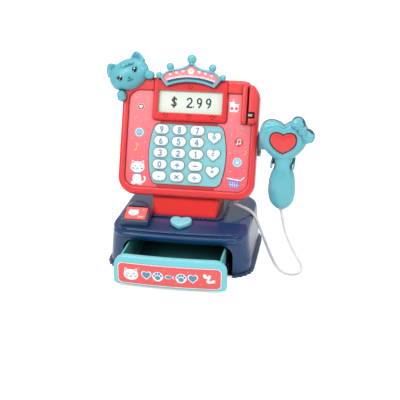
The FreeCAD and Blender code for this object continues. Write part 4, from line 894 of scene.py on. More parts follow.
def card_channel():
    ridge = shrinking_rect(63.1, 70.3, CHANNEL_Y0, 86.3, 3.5, 10)
    make("swipe_ridge", solid(ridge, 0.2, 8.7, round_top=3.0, steps=8), RED, "base", HEAD,
         slot="red_shell")
    wall = make("swipe_wall", bridge([lift(wall_outline(0.0), 2.0)] + rim(wall_outline, 9.0, 2.4, 7)),
                RED, None, HEAD, slot="red_shell")
    cut_away(wall, solid(rounded_rect(71.0, 79.8, 46.0, 53.8, 0.6, 4), -2, 20), RED, HEAD)
    smooth(wall, sharp=38.0)
    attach(wall, "base")
    # black strip along the slot's bottom: painted shade deep in the slot
    make("swipe_slot_floor", solid(rounded_rect(70.32, 71.74, 40.0, 86.0, 0.3, 3), 0.62, 0.95),
         BLACK, "base", HEAD)
    tips = [solid(shrinking_rect(71.9, 76.9, y0, y1, 0.35, 4, tighten=0), 1.0, 9.3,
                  round_top=0.3, steps=2) for y0, y1 in ((48.6, 49.7), (50.3, 51.3))]
    make("swipe_lever_tips", join(tips), WHITE, "swipe_lever", HEAD)
    block = shrinking_rect(71.8, 77.1, 48.4, 51.5, 0.5, 4, tighten=0)
    make("swipe_lever_block", solid(block, 0.9, 8.6, round_top=0.3, steps=2), BLACK,
         "swipe_lever", HEAD, replaces=("swipe_lever",))


# ---------------------------------------------------------------- printing
class Sheet:
    """Thin prints on a label, gathered by ink. rise lifts a print above those it overlaps."""

    def __init__(self, bottom, top, inks):
        self.bottom, self.top, self.inks = bottom, top, inks
        self.shapes = {name: [] for name in inks}

    def fill(self, ink_name, outline, rise=0.0):
        self.shapes[ink_name].append(solid(outline, self.bottom, self.top + rise))

    def oval(self, ink_name, x, y, rx, ry, n=32, rise=0.0):
        self.fill(ink_name, ellipse(x, y, rx, ry, n), rise)

    def line(self, ink_name, path, half_width, rise=0.0, closed=False):
        self.shapes[ink_name].append(
            ribbon(path, half_width, self.bottom, self.top + rise, closed))

    def straight(self, ink_name, points, half_width, rise=0.0, step=0.5):
        self.line(ink_name, straight_path(points, step), half_width, rise)

    def white_ring(self, x, y, radius, half_width):
        self.line("white", arc(x, y, radius, radius, 0, 352, 36), half_width, 0.02, closed=True)

    def stars(self, ink_name, spots):
        """Four-pointed stars from (x, y, radius)."""
        t = np.radians(np.arange(0, 360, 45))
        for x, y, radius in spots:
            r = np.where(np.arange(8) % 2 == 0, radius, radius * 0.30)
            self.fill(ink_name, np.c_[x + r * np.cos(t), y + r * np.sin(t)])

    def kitten_face(self, x, y, s):
        """Round-cheeked kitten head with closed smiling eyes, s times 14.4 wide."""
        self.oval("white", x, y, 7.2 * s, 5.6 * s, 40)
        for k in (-1, 1):
            ear = [(x + k * 1.8 * s, y + 4.4 * s), (x + k * 6.6 * s, y + 1.6 * s),
                   (x + k * 5.9 * s, y + 7.1 * s)]
            inner_ear = [(x + k * 3.6 * s, y + 4.6 * s), (x + k * 5.7 * s, y + 3.3 * s),
                         (x + k * 5.4 * s, y + 5.9 * s)]
            eye = arc(x + k * 2.9 * s, y + 0.2 * s, 1.15 * s, 1.0 * s, 20, 160, 10)
            mouth = arc(x + k * 0.62 * s, y - 1.5 * s, 0.62 * s, 0.6 * s, 190, 350, 8)
            self.fill("white", ear[::k], -0.01)
            self.fill("rose", inner_ear[::k], 0.02)
            self.oval("rose", x + k * 4.3 * s, y - 1.4 * s, 1.15 * s, 0.75 * s, 16, 0.02)
            self.line("navy", eye, 0.26 * s, 0.03)
            self.line("navy", mouth, 0.2 * s, 0.03)
        self.oval("navy", x, y - 0.9 * s, 0.5 * s, 0.36 * s, 12, 0.03)

    def build(self, prefix, body, builder=make, **options):
        for name, material in self.inks.items():
            builder(prefix + name, join(self.shapes[name]), material, body, sharp=30, **options)


# Scattered stars: x, y, radius
LEFT_STARS = ((-66, 42, 1.0), (-54, 40, 0.8), (-70, 16, 1.0), (-53, 12, 0.9), (-68, -8, 0.8),
              (-55, -6, 1.1), (-54, 66, 0.9), (-68, 66, 1.2))
RIGHT_STARS = ((51, 44, 1.0), (58, 36, 0.8), (66, 34, 1.2), (53, 26, 0.9), (70, 27, 0.8),
               (52, 4, 0.9), (70, -16, 1.0), (54, -18, 1.1), (70, 12, 0.8))
DRAWER_STARS = ((-34.6, 25.6, 1.3), (-34.0, 11.6, 0.9), (-18.8, 11.0, 1.0), (-5.0, 26.2, 1.0),
                (8.2, 11.0, 1.0), (22.2, 26.0, 1.2), (37.6, 11.6, 1.0), (54.0, 26.2, 1.1))
CROWN_STARS = ((-5.2, 104.0, 0.8), (5.2, 104.0, 0.8), (-14.0, 93.8, 0.6), (14.0, 93.8, 0.6),
               (-21.6, 98.4, 0.6), (21.6, 98.4, 0.6))


def print_left_badges(sheet):
    x = -61
    # heart badge
    sheet.oval("rose", x, 55, 5.2, 5.2)
    sheet.white_ring(x, 55, 4.3, 0.28)
    sheet.fill("white", heart(x, 55, 4.6, 4.0), 0.02)
    # smiling badge
    sheet.oval("blue", x, 23.6, 5.6, 5.6)
    sheet.white_ring(x, 23.6, 4.8, 0.25)
    sheet.line("teal", arc(x, 22.8, 2.4, 2.0, 200, 340, 10), 0.45, 0.03)
    for eye_x in (-62.7, -59.3):
        sheet.oval("teal", eye_x, 25.2, 0.6, 0.7, 12, 0.03)
    # single note
    sheet.straight("yellow", [(-63.6, 2.0), (-63.6, 9.6)], 0.34)
    sheet.line("yellow", smooth_path([(-63.6, 9.6), (-61.9, 8.8), (-61.4, 7.0)], 0.3), 0.42)
    sheet.oval("yellow", -64.7, 1.9, 1.35, 1.0)
    sheet.stars("white", LEFT_STARS)


def print_sitting_kitten(sheet):
    x = -60.5
    sheet.kitten_face(x, -19.0, 1.22)
    sheet.oval("white", x, -33.0, 5.6, 6.4, 32, -0.02)
    for foot_x in (-64.6, -56.6):
        sheet.oval("white", foot_x, -38.4, 3.2, 2.1, 20, -0.015)
    tail = [(-55.6, -36.5), (-51.6, -36.4), (-50.4, -32.6), (-51.6, -30.4)]
    sheet.line("white", smooth_path(tail, 0.4), 1.0, -0.025)
    for k in (-1, 1):
        sheet.oval("teal", x + k * 2.1, -26.8, 2.0, 1.3, 16, 0.02)
    sheet.oval("teal", x, -26.8, 0.8, 0.8, 12, 0.03)


def print_cups(sheet):
    base_y = 53.5
    for x, w, h in ((51.0, 3.0, 11.5), (56.4, 2.7, 9.2)):
        sheet.fill("white", [(x - w * 0.8, base_y), (x + w * 0.8, base_y),
                             (x + w, base_y + h), (x - w, base_y + h)])
        lid_y = base_y + 0.2 + h
        sheet.straight("white", [(x - w - 0.5, lid_y), (x + w + 0.5, lid_y)], 0.4, 0.02)
        sheet.fill("rose", rounded_rect(x - w * 0.55, x + w * 0.55, 56.2, 59.4, 0.5, 4), 0.03)
    sheet.straight("white", [(51.6, 65.0), (52.8, 69.2)], 0.32)


def print_right_badges(sheet):
    # badge with a pair of joined notes
    sheet.oval("rose", 62.0, 17.5, 5.4, 5.4)
    for points, half_width in (([(60.6, 15.4), (60.6, 20.4)], 0.36),
                               ([(60.6, 20.4), (64.2, 21.2)], 0.5),
                               ([(64.2, 21.2), (64.2, 16.2)], 0.36)):
        sheet.straight("white", points, half_width, 0.02)
    for x, y in ((59.7, 15.2), (63.3, 16.0)):
        sheet.oval("white", x, y, 1.2, 0.9, 14, 0.03)
    # badge with a paw
    x, y, paw = 61.6, -6.6, 3.0
    sheet.oval("blue", x, y, 5.7, 5.7)
    sheet.white_ring(x, y, 4.9, 0.25)
    sheet.oval("white", x, y - paw * 0.25, paw * 0.52, paw * 0.42, 20, 0.03)
    for dx, dy in ((-0.62, 0.18), (-0.24, 0.55), (0.24, 0.55), (0.62, 0.18)):
        sheet.oval("white", x + dx * paw, y + dy * paw, paw * 0.17, paw * 0.21, 14, 0.03)
    # small curl with a dot
    sheet.line("yellow", smooth_path([(70.6, 3.4), (71.6, 5.6), (70.4, 7.6)], 0.3), 0.45)
    sheet.oval("yellow", 69.9, 3.0, 1.1, 0.9)


def print_cart(sheet):
    sheet.fill("lilac", [(53.8, -37.4), (64.8, -38.2), (66.6, -29.4), (51.4, -27.6)])
    sheet.straight("white", [(50.6, -26.2), (66.6, -28.4)], 0.75, 0.02)
    sheet.straight("white", [(66.6, -28.4), (71.0, -24.4)], 0.75, 0.02)
    for i in range(4):
        slat = [(54.4 + i * 2.9, -30.0 - i * 0.3), (55.2 + i * 2.5, -36.4 - i * 0.2)]
        sheet.straight("white", slat, 0.22, 0.02)
    sheet.straight("white", [(53.4, -33.4), (65.2, -34.4)], 0.22, 0.025)
    for x, y in ((56.0, -40.0), (63.4, -40.6)):
        sheet.oval("lilac", x, y, 1.15, 1.15)


def face_prints():
    sheet = Sheet(bottom=0.35, top=0.52, inks={
        "white": INK_WHITE, "blue": INK_BLUE, "rose": INK_ROSE_BROWN, "lilac": INK_LILAC,
        "yellow": INK_YELLOW, "teal": INK_STEEL_BLUE, "navy": INK_NAVY})
    print_left_badges(sheet)
    print_sitting_kitten(sheet)
    print_cups(sheet)
    print_right_badges(sheet)
    print_cart(sheet)
    sheet.stars("white", RIGHT_STARS)
    sheet.build("face_print_", "base", matrix=HEAD)


# ---------------------------------------------------------------- drawer label
MOTIF_Y = 18.2


def print_drawer_heart(sheet, x):
    for ink_name, s, rise in (("white", 1.28, 0.0), ("blue", 1.0, 0.03)):
        sheet.fill(ink_name, heart(x, MOTIF_Y, 9.4 * s, 8.8 * s), rise)


def print_drawer_fish(sheet, x):
    y = MOTIF_Y
    for ink_name, s, rise in (("white", 0.92 * 1.28, 0.0), ("blue", 0.92, 0.03)):
        body = arc(x - 0.6 * s, y, 3.4 * s, 2.1 * s, 25, 335, 26)
        tail = [(x + 5.2 * s, y - 2.0 * s), (x + 4.2 * s, y), (x + 5.2 * s, y + 2.0 * s)]
        sheet.fill(ink_name, np.vstack([body, tail]), rise)


def print_drawer_paw(sheet, x):
    y, s = MOTIF_Y, 1.1
    sheet.oval("white", x, y - 0.4 * s, 5.9 * s, 5.3 * s, 32)
    sheet.oval("blue", x, y - 1.9 * s, 2.9 * s, 2.4 * s, 24, 0.03)
    for dx, dy, r in ((-3.6, 0.6, 1.15), (-1.35, 2.7, 1.3), (1.35, 2.7, 1.3), (3.6, 0.6, 1.15)):
        sheet.oval("blue", x + dx * s, y + dy * s, r * s, r * 1.25 * s, 18, 0.03)


def drawer_label():
    border = shrinking_rect(-60.2, 60.2, 5.7, 31.3, 5.4, 10)
    make_on_drawer("drawer_label_border", solid(border, 0.02, 0.42, round_top=0.2, steps=2),
                   FILM_WHITE, "drawer", replaces=("drawer_label",), slot="pink_label")
    field = shrinking_rect(-59.3, 59.3, 6.5, 30.5, 4.9, 10)
    make_on_drawer("drawer_label_field", solid(field, 0.1, 0.52, round_top=0.1, steps=2),
                   DRAWER_PINK, "drawer")
    sheet = Sheet(bottom=0.10, top=0.60, inks={
        "white": INK_WHITE, "blue": INK_STEEL_BLUE, "rose": INK_PINK, "navy": INK_NAVY,
        "yellow": INK_YELLOW})
    sheet.kitten_face(-44.2, 17.2, 1.22)
    sheet.top = 0.62      # the motifs are a little thicker than the kitten
    print_drawer_heart(sheet, -26.0)
    print_drawer_paw(sheet, -12.6)
    print_drawer_fish(sheet, 0.2)
    print_drawer_paw(sheet, 14.4)
    print_drawer_heart(sheet, 27.8)
    # two pairs of petals at the right: x, y, half width, half height, turn
    for x, y, rx, ry, degrees in ((41.6, 22.0, 2.1, 3.1, 28), (46.0, 20.8, 2.1, 3.1, -28),
                                  (45.8, 15.4, 1.9, 2.9, 62), (50.6, 15.6, 1.9, 2.9, -62)):
        sheet.fill("white", ellipse(0, 0, rx, ry, 24) @ turn(degrees)[:2, :2].T + [x, y])
    sheet.stars("yellow", DRAWER_STARS)
    sheet.build("drawer_print_", "drawer", builder=make_on_drawer)


# ---------------------------------------------------------------- scan pad prints
def pad_prints():
    length = 21.5 / math.cos(rad(PAD_SLOPE))
    sheet = Sheet(bottom=0.80, top=0.95, inks={
        "white": INK_WHITE, "navy": INK_NAVY, "rose": INK_PINK})
    sheet.kitten_face(-3.2, length * 0.55, 0.86)
    sheet.stars("white", ((8.2, length * 0.78, 1.1),))
    for y, end_x in ((7.2, 10.0), (5.6, 8.4)):
        sheet.straight("white", [(3.6, y), (end_x, y)], 0.28, step=0.6)
    sheet.build("pad_print_", "scan_pad", matrix=PAD)


# ---------------------------------------------------------------- base trim
def front_path(half_width, end_angle):
    """Points and outward normals along the base's front, from right corner to left."""
    centre_y = BASE_FRONT_Y + FRONT_R
    corner_x = half_width - BASE_CORNER_R
    corner_y = centre_y - math.sqrt((FRONT_R - BASE_CORNER_R) ** 2 - corner_x ** 2)
    join_angle = math.degrees(math.atan2(corner_y - centre_y, corner_x))
    arcs = (
        ((corner_x, corner_y), BASE_CORNER_R, np.linspace(end_angle, join_angle, 26)),
        ((0, centre_y), FRONT_R, np.linspace(join_angle, -180 - join_angle, 60)[1:-1]),
        ((-corner_x, corner_y), BASE_CORNER_R,
         np.linspace(-180 - join_angle, -180 - end_angle, 26)),
    )
    points, normals = [], []
    for centre, radius, degrees in arcs:
        t = np.radians(degrees)
        outward = np.c_[np.cos(t), np.sin(t)]
        points.append(np.array(centre) + radius * outward)
        normals.append(outward)
    return np.vstack(points), np.vstack(normals)


def front_bead(offset, z, depth, height, end_angle, half_width, power):
    """Superelliptic bead along the front that thins out over its last 14 mm at each end."""
    p, normals = front_path(half_width, end_angle)
    along = np.concatenate([[0], np.cumsum(np.linalg.norm(np.diff(p, axis=0), axis=1))])
    fade = np.clip(np.minimum(along, along[-1] - along) / 14.0, 0.02, 1)
    fade = np.sin(fade * math.pi / 2) ** 0.8
    out, up = superellipse(24, power)
    return bridge([
        np.c_[point + normal * (offset + depth * k * out)[:, None],
              z + height * (0.35 + 0.65 * k) * up]
        for point, normal, k in zip(p, normals, fade)])


def base_trim():
    make("front_band", front_bead(offset=0.0, z=45.3, depth=2.9, height=3.5, end_angle=-38.0,
                                  half_width=82.8, power=2.4), NAVY, "base", slot="navy_shell")
    make("front_lip", front_bead(offset=-4.6, z=50.3, depth=2.0, height=1.9, end_angle=-50.0,
                                 half_width=82.2, power=2.0), NAVY, "base", slot="navy_shell")
    # short ribs beside the neck, on the right of the deck, in dark navy: painted shadow of the gaps
    # in the lace trim
    ribs = [ball((49.0, -9.4 + 7.0 * i, DECK_Z), (3.0, 1.7, 0.35), 20, 10) for i in range(7)]
    make("deck_ribs", join(ribs), NAVY_DARK, "base")


def release_heart():
    """A stem that fits the hole in the deck, with a plumper pillow above it."""
    stem = heart(0, 0, 25.4, 22.6)
    pillow = heart(0, -0.3, 25.8, 23.0, plump=True)
    top = 6.0
    rings = [lift(stem, -3.0), lift(stem, 1.9), lift(pillow, 2.1)]
    rings += rim(lambda d: inset(pillow, d, 0.0), top, 1.8, 8)
    rings += dome(rings[-1], top, 0.3)
    make("release_heart", bridge(rings), BUTTON, "release_button", STRIP, slot="teal_trim",
         replaces=("release_button",), fold=0.0)


# ---------------------------------------------------------------- crown
CROWN_BACK, CROWN_FRONT = 5.6, 11.1
CROWN_FLOOR = CROWN_FRONT - 1.5      # sunken field inside the frame's rim
FILM_TOP = CROWN_FRONT - 1.1
# ball x, y, radius, and the x, y its neck points to
CROWN_BALLS = ((0, 113.6, 5.7, 0, 100), (25.9, 104.0, 4.6, 24.2, 97),
               (-25.9, 104.0, 4.6, -24.2, 97), (38.9, 93.0, 3.9, 31.5, 90.2),
               (-38.9, 93.0, 3.9, -31.5, 90.2))


def crown_outline():
    return mirrored(np.vstack([
        arc_through((0, 111.2), (6.2, 105.9), (13.0, 102.6), 14)[:-1],
        np.linspace((13.0, 102.6), (25.5, 100.6), 6)[:-1],
        arc_through((25.5, 100.6), (32.6, 96.4), (37.6, 90.4), 10)[:-1],
        np.linspace((37.6, 90.4), (29.0, 80.2), 6)[:-1],
        arc_through((29.0, 80.2), (14.8, 84.8), (0, 86.3), 14)]))


def crown_body(outline):
    rings = [lift(outline, CROWN_BACK)]
    rings += rim(lambda d: inset(outline, d, 0), CROWN_FRONT, 1.2, 5)
    rings += [lift(inset(outline, d, 0), z) for d, z in (
        (2.3, CROWN_FRONT), (2.7, CROWN_FRONT - 0.35), (2.8, CROWN_FLOOR))]
    make("crown_frame", bridge(rings), TEAL, "base", HEAD, slot="teal_trim",
         replaces=("crown", "crown_label"), fold=0.0)
    z = CROWN_BACK + 3.2
    shapes = []
    for x, y, r, to_x, to_y in CROWN_BALLS:
        shapes.append(ball((x, y, z), (r, r, r), 40, 26))
        centre = np.array([x, y])
        toward = np.array([to_x, to_y]) - centre
        toward = toward / np.linalg.norm(toward)
        start, end = centre + toward * r * 0.8, centre + toward * (r + 1.6)
        neck = lift(np.array([start, (start + end) / 2, end]), z)
        shapes.append(tube(neck, [r * 0.62, r * 0.56, r * 0.66], 20))
    make("crown_balls", join(shapes), TEAL, "base", HEAD, slot="teal_trim")
    make("crown_film", solid(inset(outline, 1.3, 0), CROWN_FLOOR, FILM_TOP), PINK,
         "base", HEAD, slot="pink_label", fold=0.0)


def crown_prints():
    sheet = Sheet(bottom=FILM_TOP, top=CROWN_FRONT - 0.98, inks={
        "white": INK_WHITE, "navy": INK_NAVY, "yellow": INK_YELLOW})
    # navy hem with a white scalloped lace above it
    hem_top = arc_through((-29.5, 87.0), (0, 92.2), (29.5, 87.0), 40)
    hem_bottom = arc_through((-26.6, 84.1), (0, 89.4), (26.6, 84.1), 40)
    sheet.fill("navy", np.vstack([hem_bottom, hem_top[::-1]]))
    sheet.line("white", hem_top + [0, 0.2], 0.42, 0.02)
    scallops = 17
    for i in range(scallops):
        k, part = divmod((i + 0.5) / scallops * (len(hem_top) - 1), 1)
        x, y = hem_top[int(k)] * (1 - part) + hem_top[int(k) + 1] * part
        sheet.line("white", arc(x, y + 0.4, 1.5, 1.5, 0, 180, 10), 0.26, 0.03)
    # five-petal flower
    for i in range(5):
        a = rad(90 + i * 72)
        sheet.oval("white", 2.3 * math.cos(a), 99.0 + 2.3 * math.sin(a), 1.75, 1.75, 20,
                   0.02 + 0.003 * i)
    sheet.oval("yellow", 0, 99.0, 1.2, 1.2, 16, 0.06)
    for x, y, s in ((-10.0, 98.2, 1.0), (-17.6, 96.6, 0.9), (10.0, 98.2, 1.0),
                    (17.6, 96.6, 0.9), (-25.2, 94.2, 0.8), (25.2, 94.2, 0.8)):
        sheet.fill("white", heart(x, y, 4.0 * s, 3.6 * s), 0.02)
    sheet.stars("white", CROWN_STARS)
    sheet.build("crown_print_", "base", matrix=HEAD)


# ---------------------------------------------------------------- kitten on the head's corner
KITTEN_TURN = 27.0
KITTEN_CENTRE = (-77.6, 93.2, 3.0)
KITTEN_EYES = ((-9.8, -2.2, -1), (9.7, -0.4, 1))      # x, y, side


def on_kitten(shape):
    return placed(shape, KITTEN_TURN, KITTEN_CENTRE)


def kitten_ear(side):
    """Rounded triangular ear with a dished front."""
    a = np.linspace(0, TAU, 32, endpoint=False)
    rings = []
    for t in np.linspace(0, 1, 16):
        width = 9.6 * (1 - t) ** 0.62 + 2.4 * math.sqrt(max(0.0, 1 - t * t)) + 0.3
        x = width * np.cos(a)
        z = (4.2 * (1 - t) ** 0.8 + 1.5) * np.sin(a)
        depth = 4.6 * min(1.0, (1 - t) * 2.2) * (t < 0.9)
        dish = np.exp(-(np.abs(x) / max(width * 0.62, 0.3)) ** 4) * depth
        z = np.where(np.sin(a) > 0, z - dish * np.clip(np.sin(a), 0, 1), z)
        rings.append(np.c_[x + side * (13.2 + 4.6 * t), np.full(32, 7.0 + 15.5 * t), z + 1.4])
    return bridge(rings)


def bow_loop(side):
    """A rounded wedge that widens away from the knot, with a pressed-in middle."""
    a = np.linspace(0, TAU, 24, endpoint=False)
    rings = []
    for t in np.linspace(0, 1, 12):
        tip = max(0.0, t - 0.72) ** 2
        bulge = math.sin(math.pi * t)
        y = (0.9 + 3.1 * t ** 0.8) * (1 - tip * 6.5) * np.cos(a)
        z = ((1.3 + 0.9 * bulge) * (1 - tip * 5.0) * np.sin(a)
             - 0.5 * np.exp(-(y / 1.6) ** 2) * (np.sin(a) > 0) * bulge)
        rings.append(np.c_[np.full(24, side * (1.2 + 6.6 * t)), y, z])
    return placed(bridge(rings), side * 8, (4.6, 9.4, 12.4 - 0.4 * (side > 0)))


def kitten_paw(centre, degrees):
    shapes = [placed(ball((0, 0, 0), (7.4, 5.6, 5.8)), degrees, centre)]
    for k in (-1, 0, 1):
        toe = np.array([5.0 - 1.1 * abs(k), 2.7 * k, 2.6]) @ turn(degrees).T
        shapes.append(ball(np.array(centre) + toe, (2.5, 1.9, 2.5)))
    return shapes


def kitten_body():
    head = [ball((0, -0.2, 0), (25.2, 18.9, 14.0), 48, 32),
            ball((-12.5, -4.6, 1.5), (11.6, 9.8, 10.5)),
            ball((12.5, -4.6, 1.5), (11.6, 9.8, 10.5)),
            kitten_ear(-1), kitten_ear(1),
            ball((0.6, -8.2, 10.6), (5.4, 3.6, 2.6))]
    soft_union("kitten_head", map(on_kitten, head), TEAL_SOFT, "base", HEAD, voxel=0.62,
               iterations=7, slot="teal_trim", replaces=("cat_figure",))
    bow = [bow_loop(-1), bow_loop(1), ball((4.6, 9.4, 12.8), (1.9, 2.2, 1.9))]
    soft_union("kitten_bow", map(on_kitten, bow), TEAL_SOFT, "base", HEAD, voxel=0.34,
               iterations=2)
    paws = kitten_paw((-52.4, 93.4, 6.4), -8) + kitten_paw((-84.6, 66.4, 6.2), -76)
    soft_union("kitten_paws", paws, TEAL_SOFT, "base", HEAD, voxel=0.42, iterations=4,
               slot="teal_trim")


def kitten_features():
    lashes, eyes, glints = [], [], []
    for x, y, side in KITTEN_EYES:
        for degrees, length in ((28, 1.9), (4, 1.7)):
            c, s = math.cos(rad(degrees)), math.sin(rad(degrees))
            root = np.array([x + side * 2.9 * c, y + 0.2 + 3.0 * s, 12.9])
            tip = np.array([x + side * (2.9 + length) * c, y + 0.2 + (3.0 + length) * s, 12.2])
            lashes.append(tube([root, (root + tip) / 2, tip], [0.34, 0.3, 0.2], 8))
        eyes.append(ball((x, y, 12.2), (3.0, 3.3, 1.9), 32, 20))
        # white glints on each eye: painted highlights
        glints.append(ball((x + 0.9, y + 1.2, 13.75), (0.95, 1.05, 0.5), 16, 10))
        glints.append(ball((x - 1.1, y - 1.2, 13.7), (0.5, 0.55, 0.3), 12, 8))
    nose_x, mouth_y = 0.6, -8.9
    nose = [ball((nose_x, -6.9, 13.6), (1.4, 1.0, 0.8), 20, 12)]
    for side in (-1, 1):
        x, y = arc(nose_x + side * 1.5, mouth_y, 1.5, 1.4, 185, 355, 10).T
        z = 13.3 - 0.05 * (x - nose_x) ** 2 + 0.12 * (y - mouth_y)
        nose.append(tube(np.c_[x, y, z], 0.34, 8))
    # the nose and mouth take the darker teal: painted shade for their low relief
    for name, shapes, material in (("lashes", lashes, EYE), ("eyes", eyes, EYE),
                                   ("glints", glints, WHITE), ("nose", nose, TEAL_SHADED)):
        make("kitten_" + name, join(map(on_kitten, shapes)), material, "base", HEAD)


# ---------------------------------------------------------------- hand scanner
# Bottle-shaped grip: height, half width, half depth, shift in x
GRIP = np.array([
    (133.0, 10.6, 9.6, 0.8), (125.0, 10.5, 9.8, 0.8), (119.5, 10.8, 10.0, 0.5),
    (116.0, 12.2, 10.7, 0.3), (112.5, 13.9, 11.4, 0.2), (108.0, 15.0, 12.0, 0.1),
    (103.0, 15.9, 12.4, 0.0), (92.5, 16.6, 12.8, 0.0), (86.0, 16.1, 12.4, 0.1),
    (81.0, 15.3, 11.9, 0.2), (77.0, 13.9, 11.0, 0.3), (73.6, 11.8, 9.8, 0.4),
    (70.6, 9.0, 7.8, 0.5), (68.6, 6.6, 6.0, 0.5), (67.6, 4.8, 4.4, 0.5)])
# Head of the scanner: inset, distance towards the front
SCANNER_HEAD = ((1.4, -8.0), (0.3, -7.0), (0.0, -5.6), (0.0, 2.2), (0.35, 4.6), (1.3, 6.8),
                (2.9, 8.5), (5.2, 9.6), (8.0, 10.1))
# Collar round the button, up from the face and down to the button's edge; same columns
COLLAR = ((-6.4, 9.2), (-6.2, 10.05), (-5.0, 10.65), (-3.6, 10.95), (-2.0, 10.85), (-0.9, 10.5),
          (-0.35, 10.0), (-0.15, 9.2), (-0.15, 7.2), (-1.5, 7.2))
SCANNER_HEAD_Y = 151.6
TRIGGER_Y = 152.4
BOW_TURN = -51
BOW_CENTRE = np.array([22.0, SCANNER_HEAD_Y + 16.5, 9.0])


def scanner_grip():
    heights = np.concatenate([np.linspace(133, 76, 42), np.linspace(75, 67.5, 14)])
    columns = [np.interp(heights, GRIP[::-1, 0], GRIP[::-1, c]) for c in (1, 2, 3)]
    for _ in range(2):
        for values in columns:
            values[1:-1] = (values[:-2] + values[1:-1] * 2 + values[2:]) / 4
    across, out = superellipse(40, 2.15)
    return bridge([np.c_[half_width * across + shift, np.full(40, height), half_depth * out]
                   for height, half_width, half_depth, shift in zip(heights, *columns)])


def scanner_half(source, name, side, material, replaced):
    """Keep what lies to one side of the parting plane: side -1 is the front, +1 the rear."""
    obj = source.copy()
    obj.data = source.data.copy()
    obj.name = name
    bpy.context.scene.collection.objects.link(obj)
    bm = bmesh.new()
    bm.from_mesh(obj.data)
    plane_y = (SCANNER_Y + 0.6 + side * 0.14) * MM
    cut = bmesh.ops.bisect_plane(bm, geom=bm.verts[:] + bm.edges[:] + bm.faces[:], dist=1e-7,
                                 plane_co=(0, plane_y, 0), plane_no=(0, -side, 0),
                                 clear_outer=True)
    edges = [item for item in cut["geom_cut"] if isinstance(item, bmesh.types.BMEdge)]
    bmesh.ops.contextual_create(bm, geom=edges)
    bm.to_mesh(obj.data)
    bm.free()
    set_material(obj, material)
    smooth(obj, sharp=50)
    register(obj, "scanner", "teal_trim", (replaced,))


def scanner_shell():
    outline = heart(0, SCANNER_HEAD_Y, 57.6, 52.2, True, 26)
    head = bridge([lift(inset(outline, d, 0), z) for d, z in SCANNER_HEAD])
    body = soft_union("scanner_body", [head, scanner_grip()], TEAL, None, SCANNER, voxel=0.55,
                      iterations=8)
    # pocket for the button
    pocket = solid(heart(0, TRIGGER_Y, 34.0, 28.3, True, 24), 7.9, 20, middle=0.0)
    cut_away(body, pocket, TEAL, SCANNER)
    scanner_half(body, "scanner_front", -1, TEAL, "scanner_front_shell")
    # the rear half takes the darker teal: painted shade on the scanner's back
    scanner_half(body, "scanner_rear", 1, TEAL_SHADED, "scanner_rear_shell")
    bpy.data.objects.remove(body)


def scanner_trigger():
    outline = heart(0, 152.3, 31.4, 25.8, True, 26)
    collar = bridge([lift(inset(outline, d, 0), z) for d, z in COLLAR], ends="joined")
    make("scanner_ring", collar, TEAL, "scanner", SCANNER, slot="teal_trim", fold=SCANNER_X)
    button = solid(heart(0, TRIGGER_Y, 30.4, 24.9, True, 24), 7.4, 11.4, round_top=1.5,
                   crown=0.9, middle=0.0, steps=7)
    make("scanner_heart", button, RED, "scanner_button", SCANNER, slot="red_shell",
         replaces=("scanner_button",))


def scanner_bow():
    """Bow on the right lobe: two loops, a knot ringed with small beads, and rear discs in darker
    teal, painted shade round the bow's edge.
    """
    shapes = []
    for side in (1, -1):
        for x, z, radii in ((8.0, 0, (8.0, 6.2, 3.6)), (11.6, 0.0, (5.4, 7.6, 3.4)),
                            (10.2, 2.0, (4.2, 4.6, 2.4))):
            shapes.append(placed(ball((side * x, 0, z), radii), BOW_TURN, BOW_CENTRE))
    shapes.append(placed(ball((0, 0, 0), (4.0, 4.6, 5.0)), BOW_TURN, BOW_CENTRE))
    beads = lift(ellipse(0, 0, 3.4, 4.0, 36), 3.6) @ turn(BOW_TURN).T + BOW_CENTRE
    shapes += [ball(bead, (1.0, 1.0, 1.1), 10, 8) for bead in beads]
    soft_union("scanner_bow", shapes, TEAL, "scanner", SCANNER, voxel=0.42, iterations=4,
               slot="teal_trim")
    # rear discs in darker teal: painted shade showing round the bow's edge
    discs = [placed(solid(ellipse(side * 9.0, 0, 8.9, 8.0, 40), -1.0, 6.4, round_top=1.2,
                          round_bottom=1.2, steps=4),
                    BOW_TURN, (22.3, SCANNER_HEAD_Y + 16.1, 0.0)) for side in (1, -1)]
    soft_union("scanner_bow_back", discs, TEAL_SHADED, "scanner", SCANNER, voxel=0.6, iterations=3)


# ---------------------------------------------------------------- cable
# Leaves the head along its face direction at these local y, then runs by x, y, z to the grip
CABLE_HEAD_X, CABLE_HEAD_Z = 58.5, -22.0
CABLE_HEAD_Y = (-45.5, -49.0, -52.0, -54.3, -55.5)
CABLE_RUN = [
    (61.2, 14.6, 66.6), (66.9, 15.4, 63.6), (73.3, 16.4, 60.6), (79.6, 17.2, 56.4),
    (85.2, 18.0, 48.6), (89.6, 18.6, 38.6), (95.6, 17.0, 24.8), (102.0, 11.0, 12.6),
    (108.2, 0.0, 5.2), (114.0, -14.0, 2.9), (120.8, -28.0, 2.6), (129.5, -36.5, 2.6),
    (139.5, -35.5, 2.6), (145.5, -25.0, 2.9), (144.0, -11.0, 4.6), (137.0, -1.0, 11.0),
    (129.5, 4.4, 22.5), (122.6, 7.2, 38.0), (118.9, 8.0, 54.0), (116.6, 8.0, 64.5),
    (116.3, 8.0, 72.0)]


def cable():
    start = [tuple(HEAD @ Vector((CABLE_HEAD_X, y, CABLE_HEAD_Z))) for y in CABLE_HEAD_Y]
    path = smooth_path(start + CABLE_RUN, 1.6)
    obj = make("cable", tube(path, 1.85, 20), RUBBER, None, slot="cable_white",
               replaces=("scanner_cable",))
    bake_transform(obj)
    # strain relief at the scanner
    sleeve = [(116.4, 8, z) for z in np.linspace(64.6, 68.6, 9)]
    radii = [2.2, 2.45, 2.5, 2.5, 2.6, 2.8, 3.0, 3.2, 3.4]
    make("cable_sleeve", tube(sleeve, radii, 24), RUBBER, "scanner")
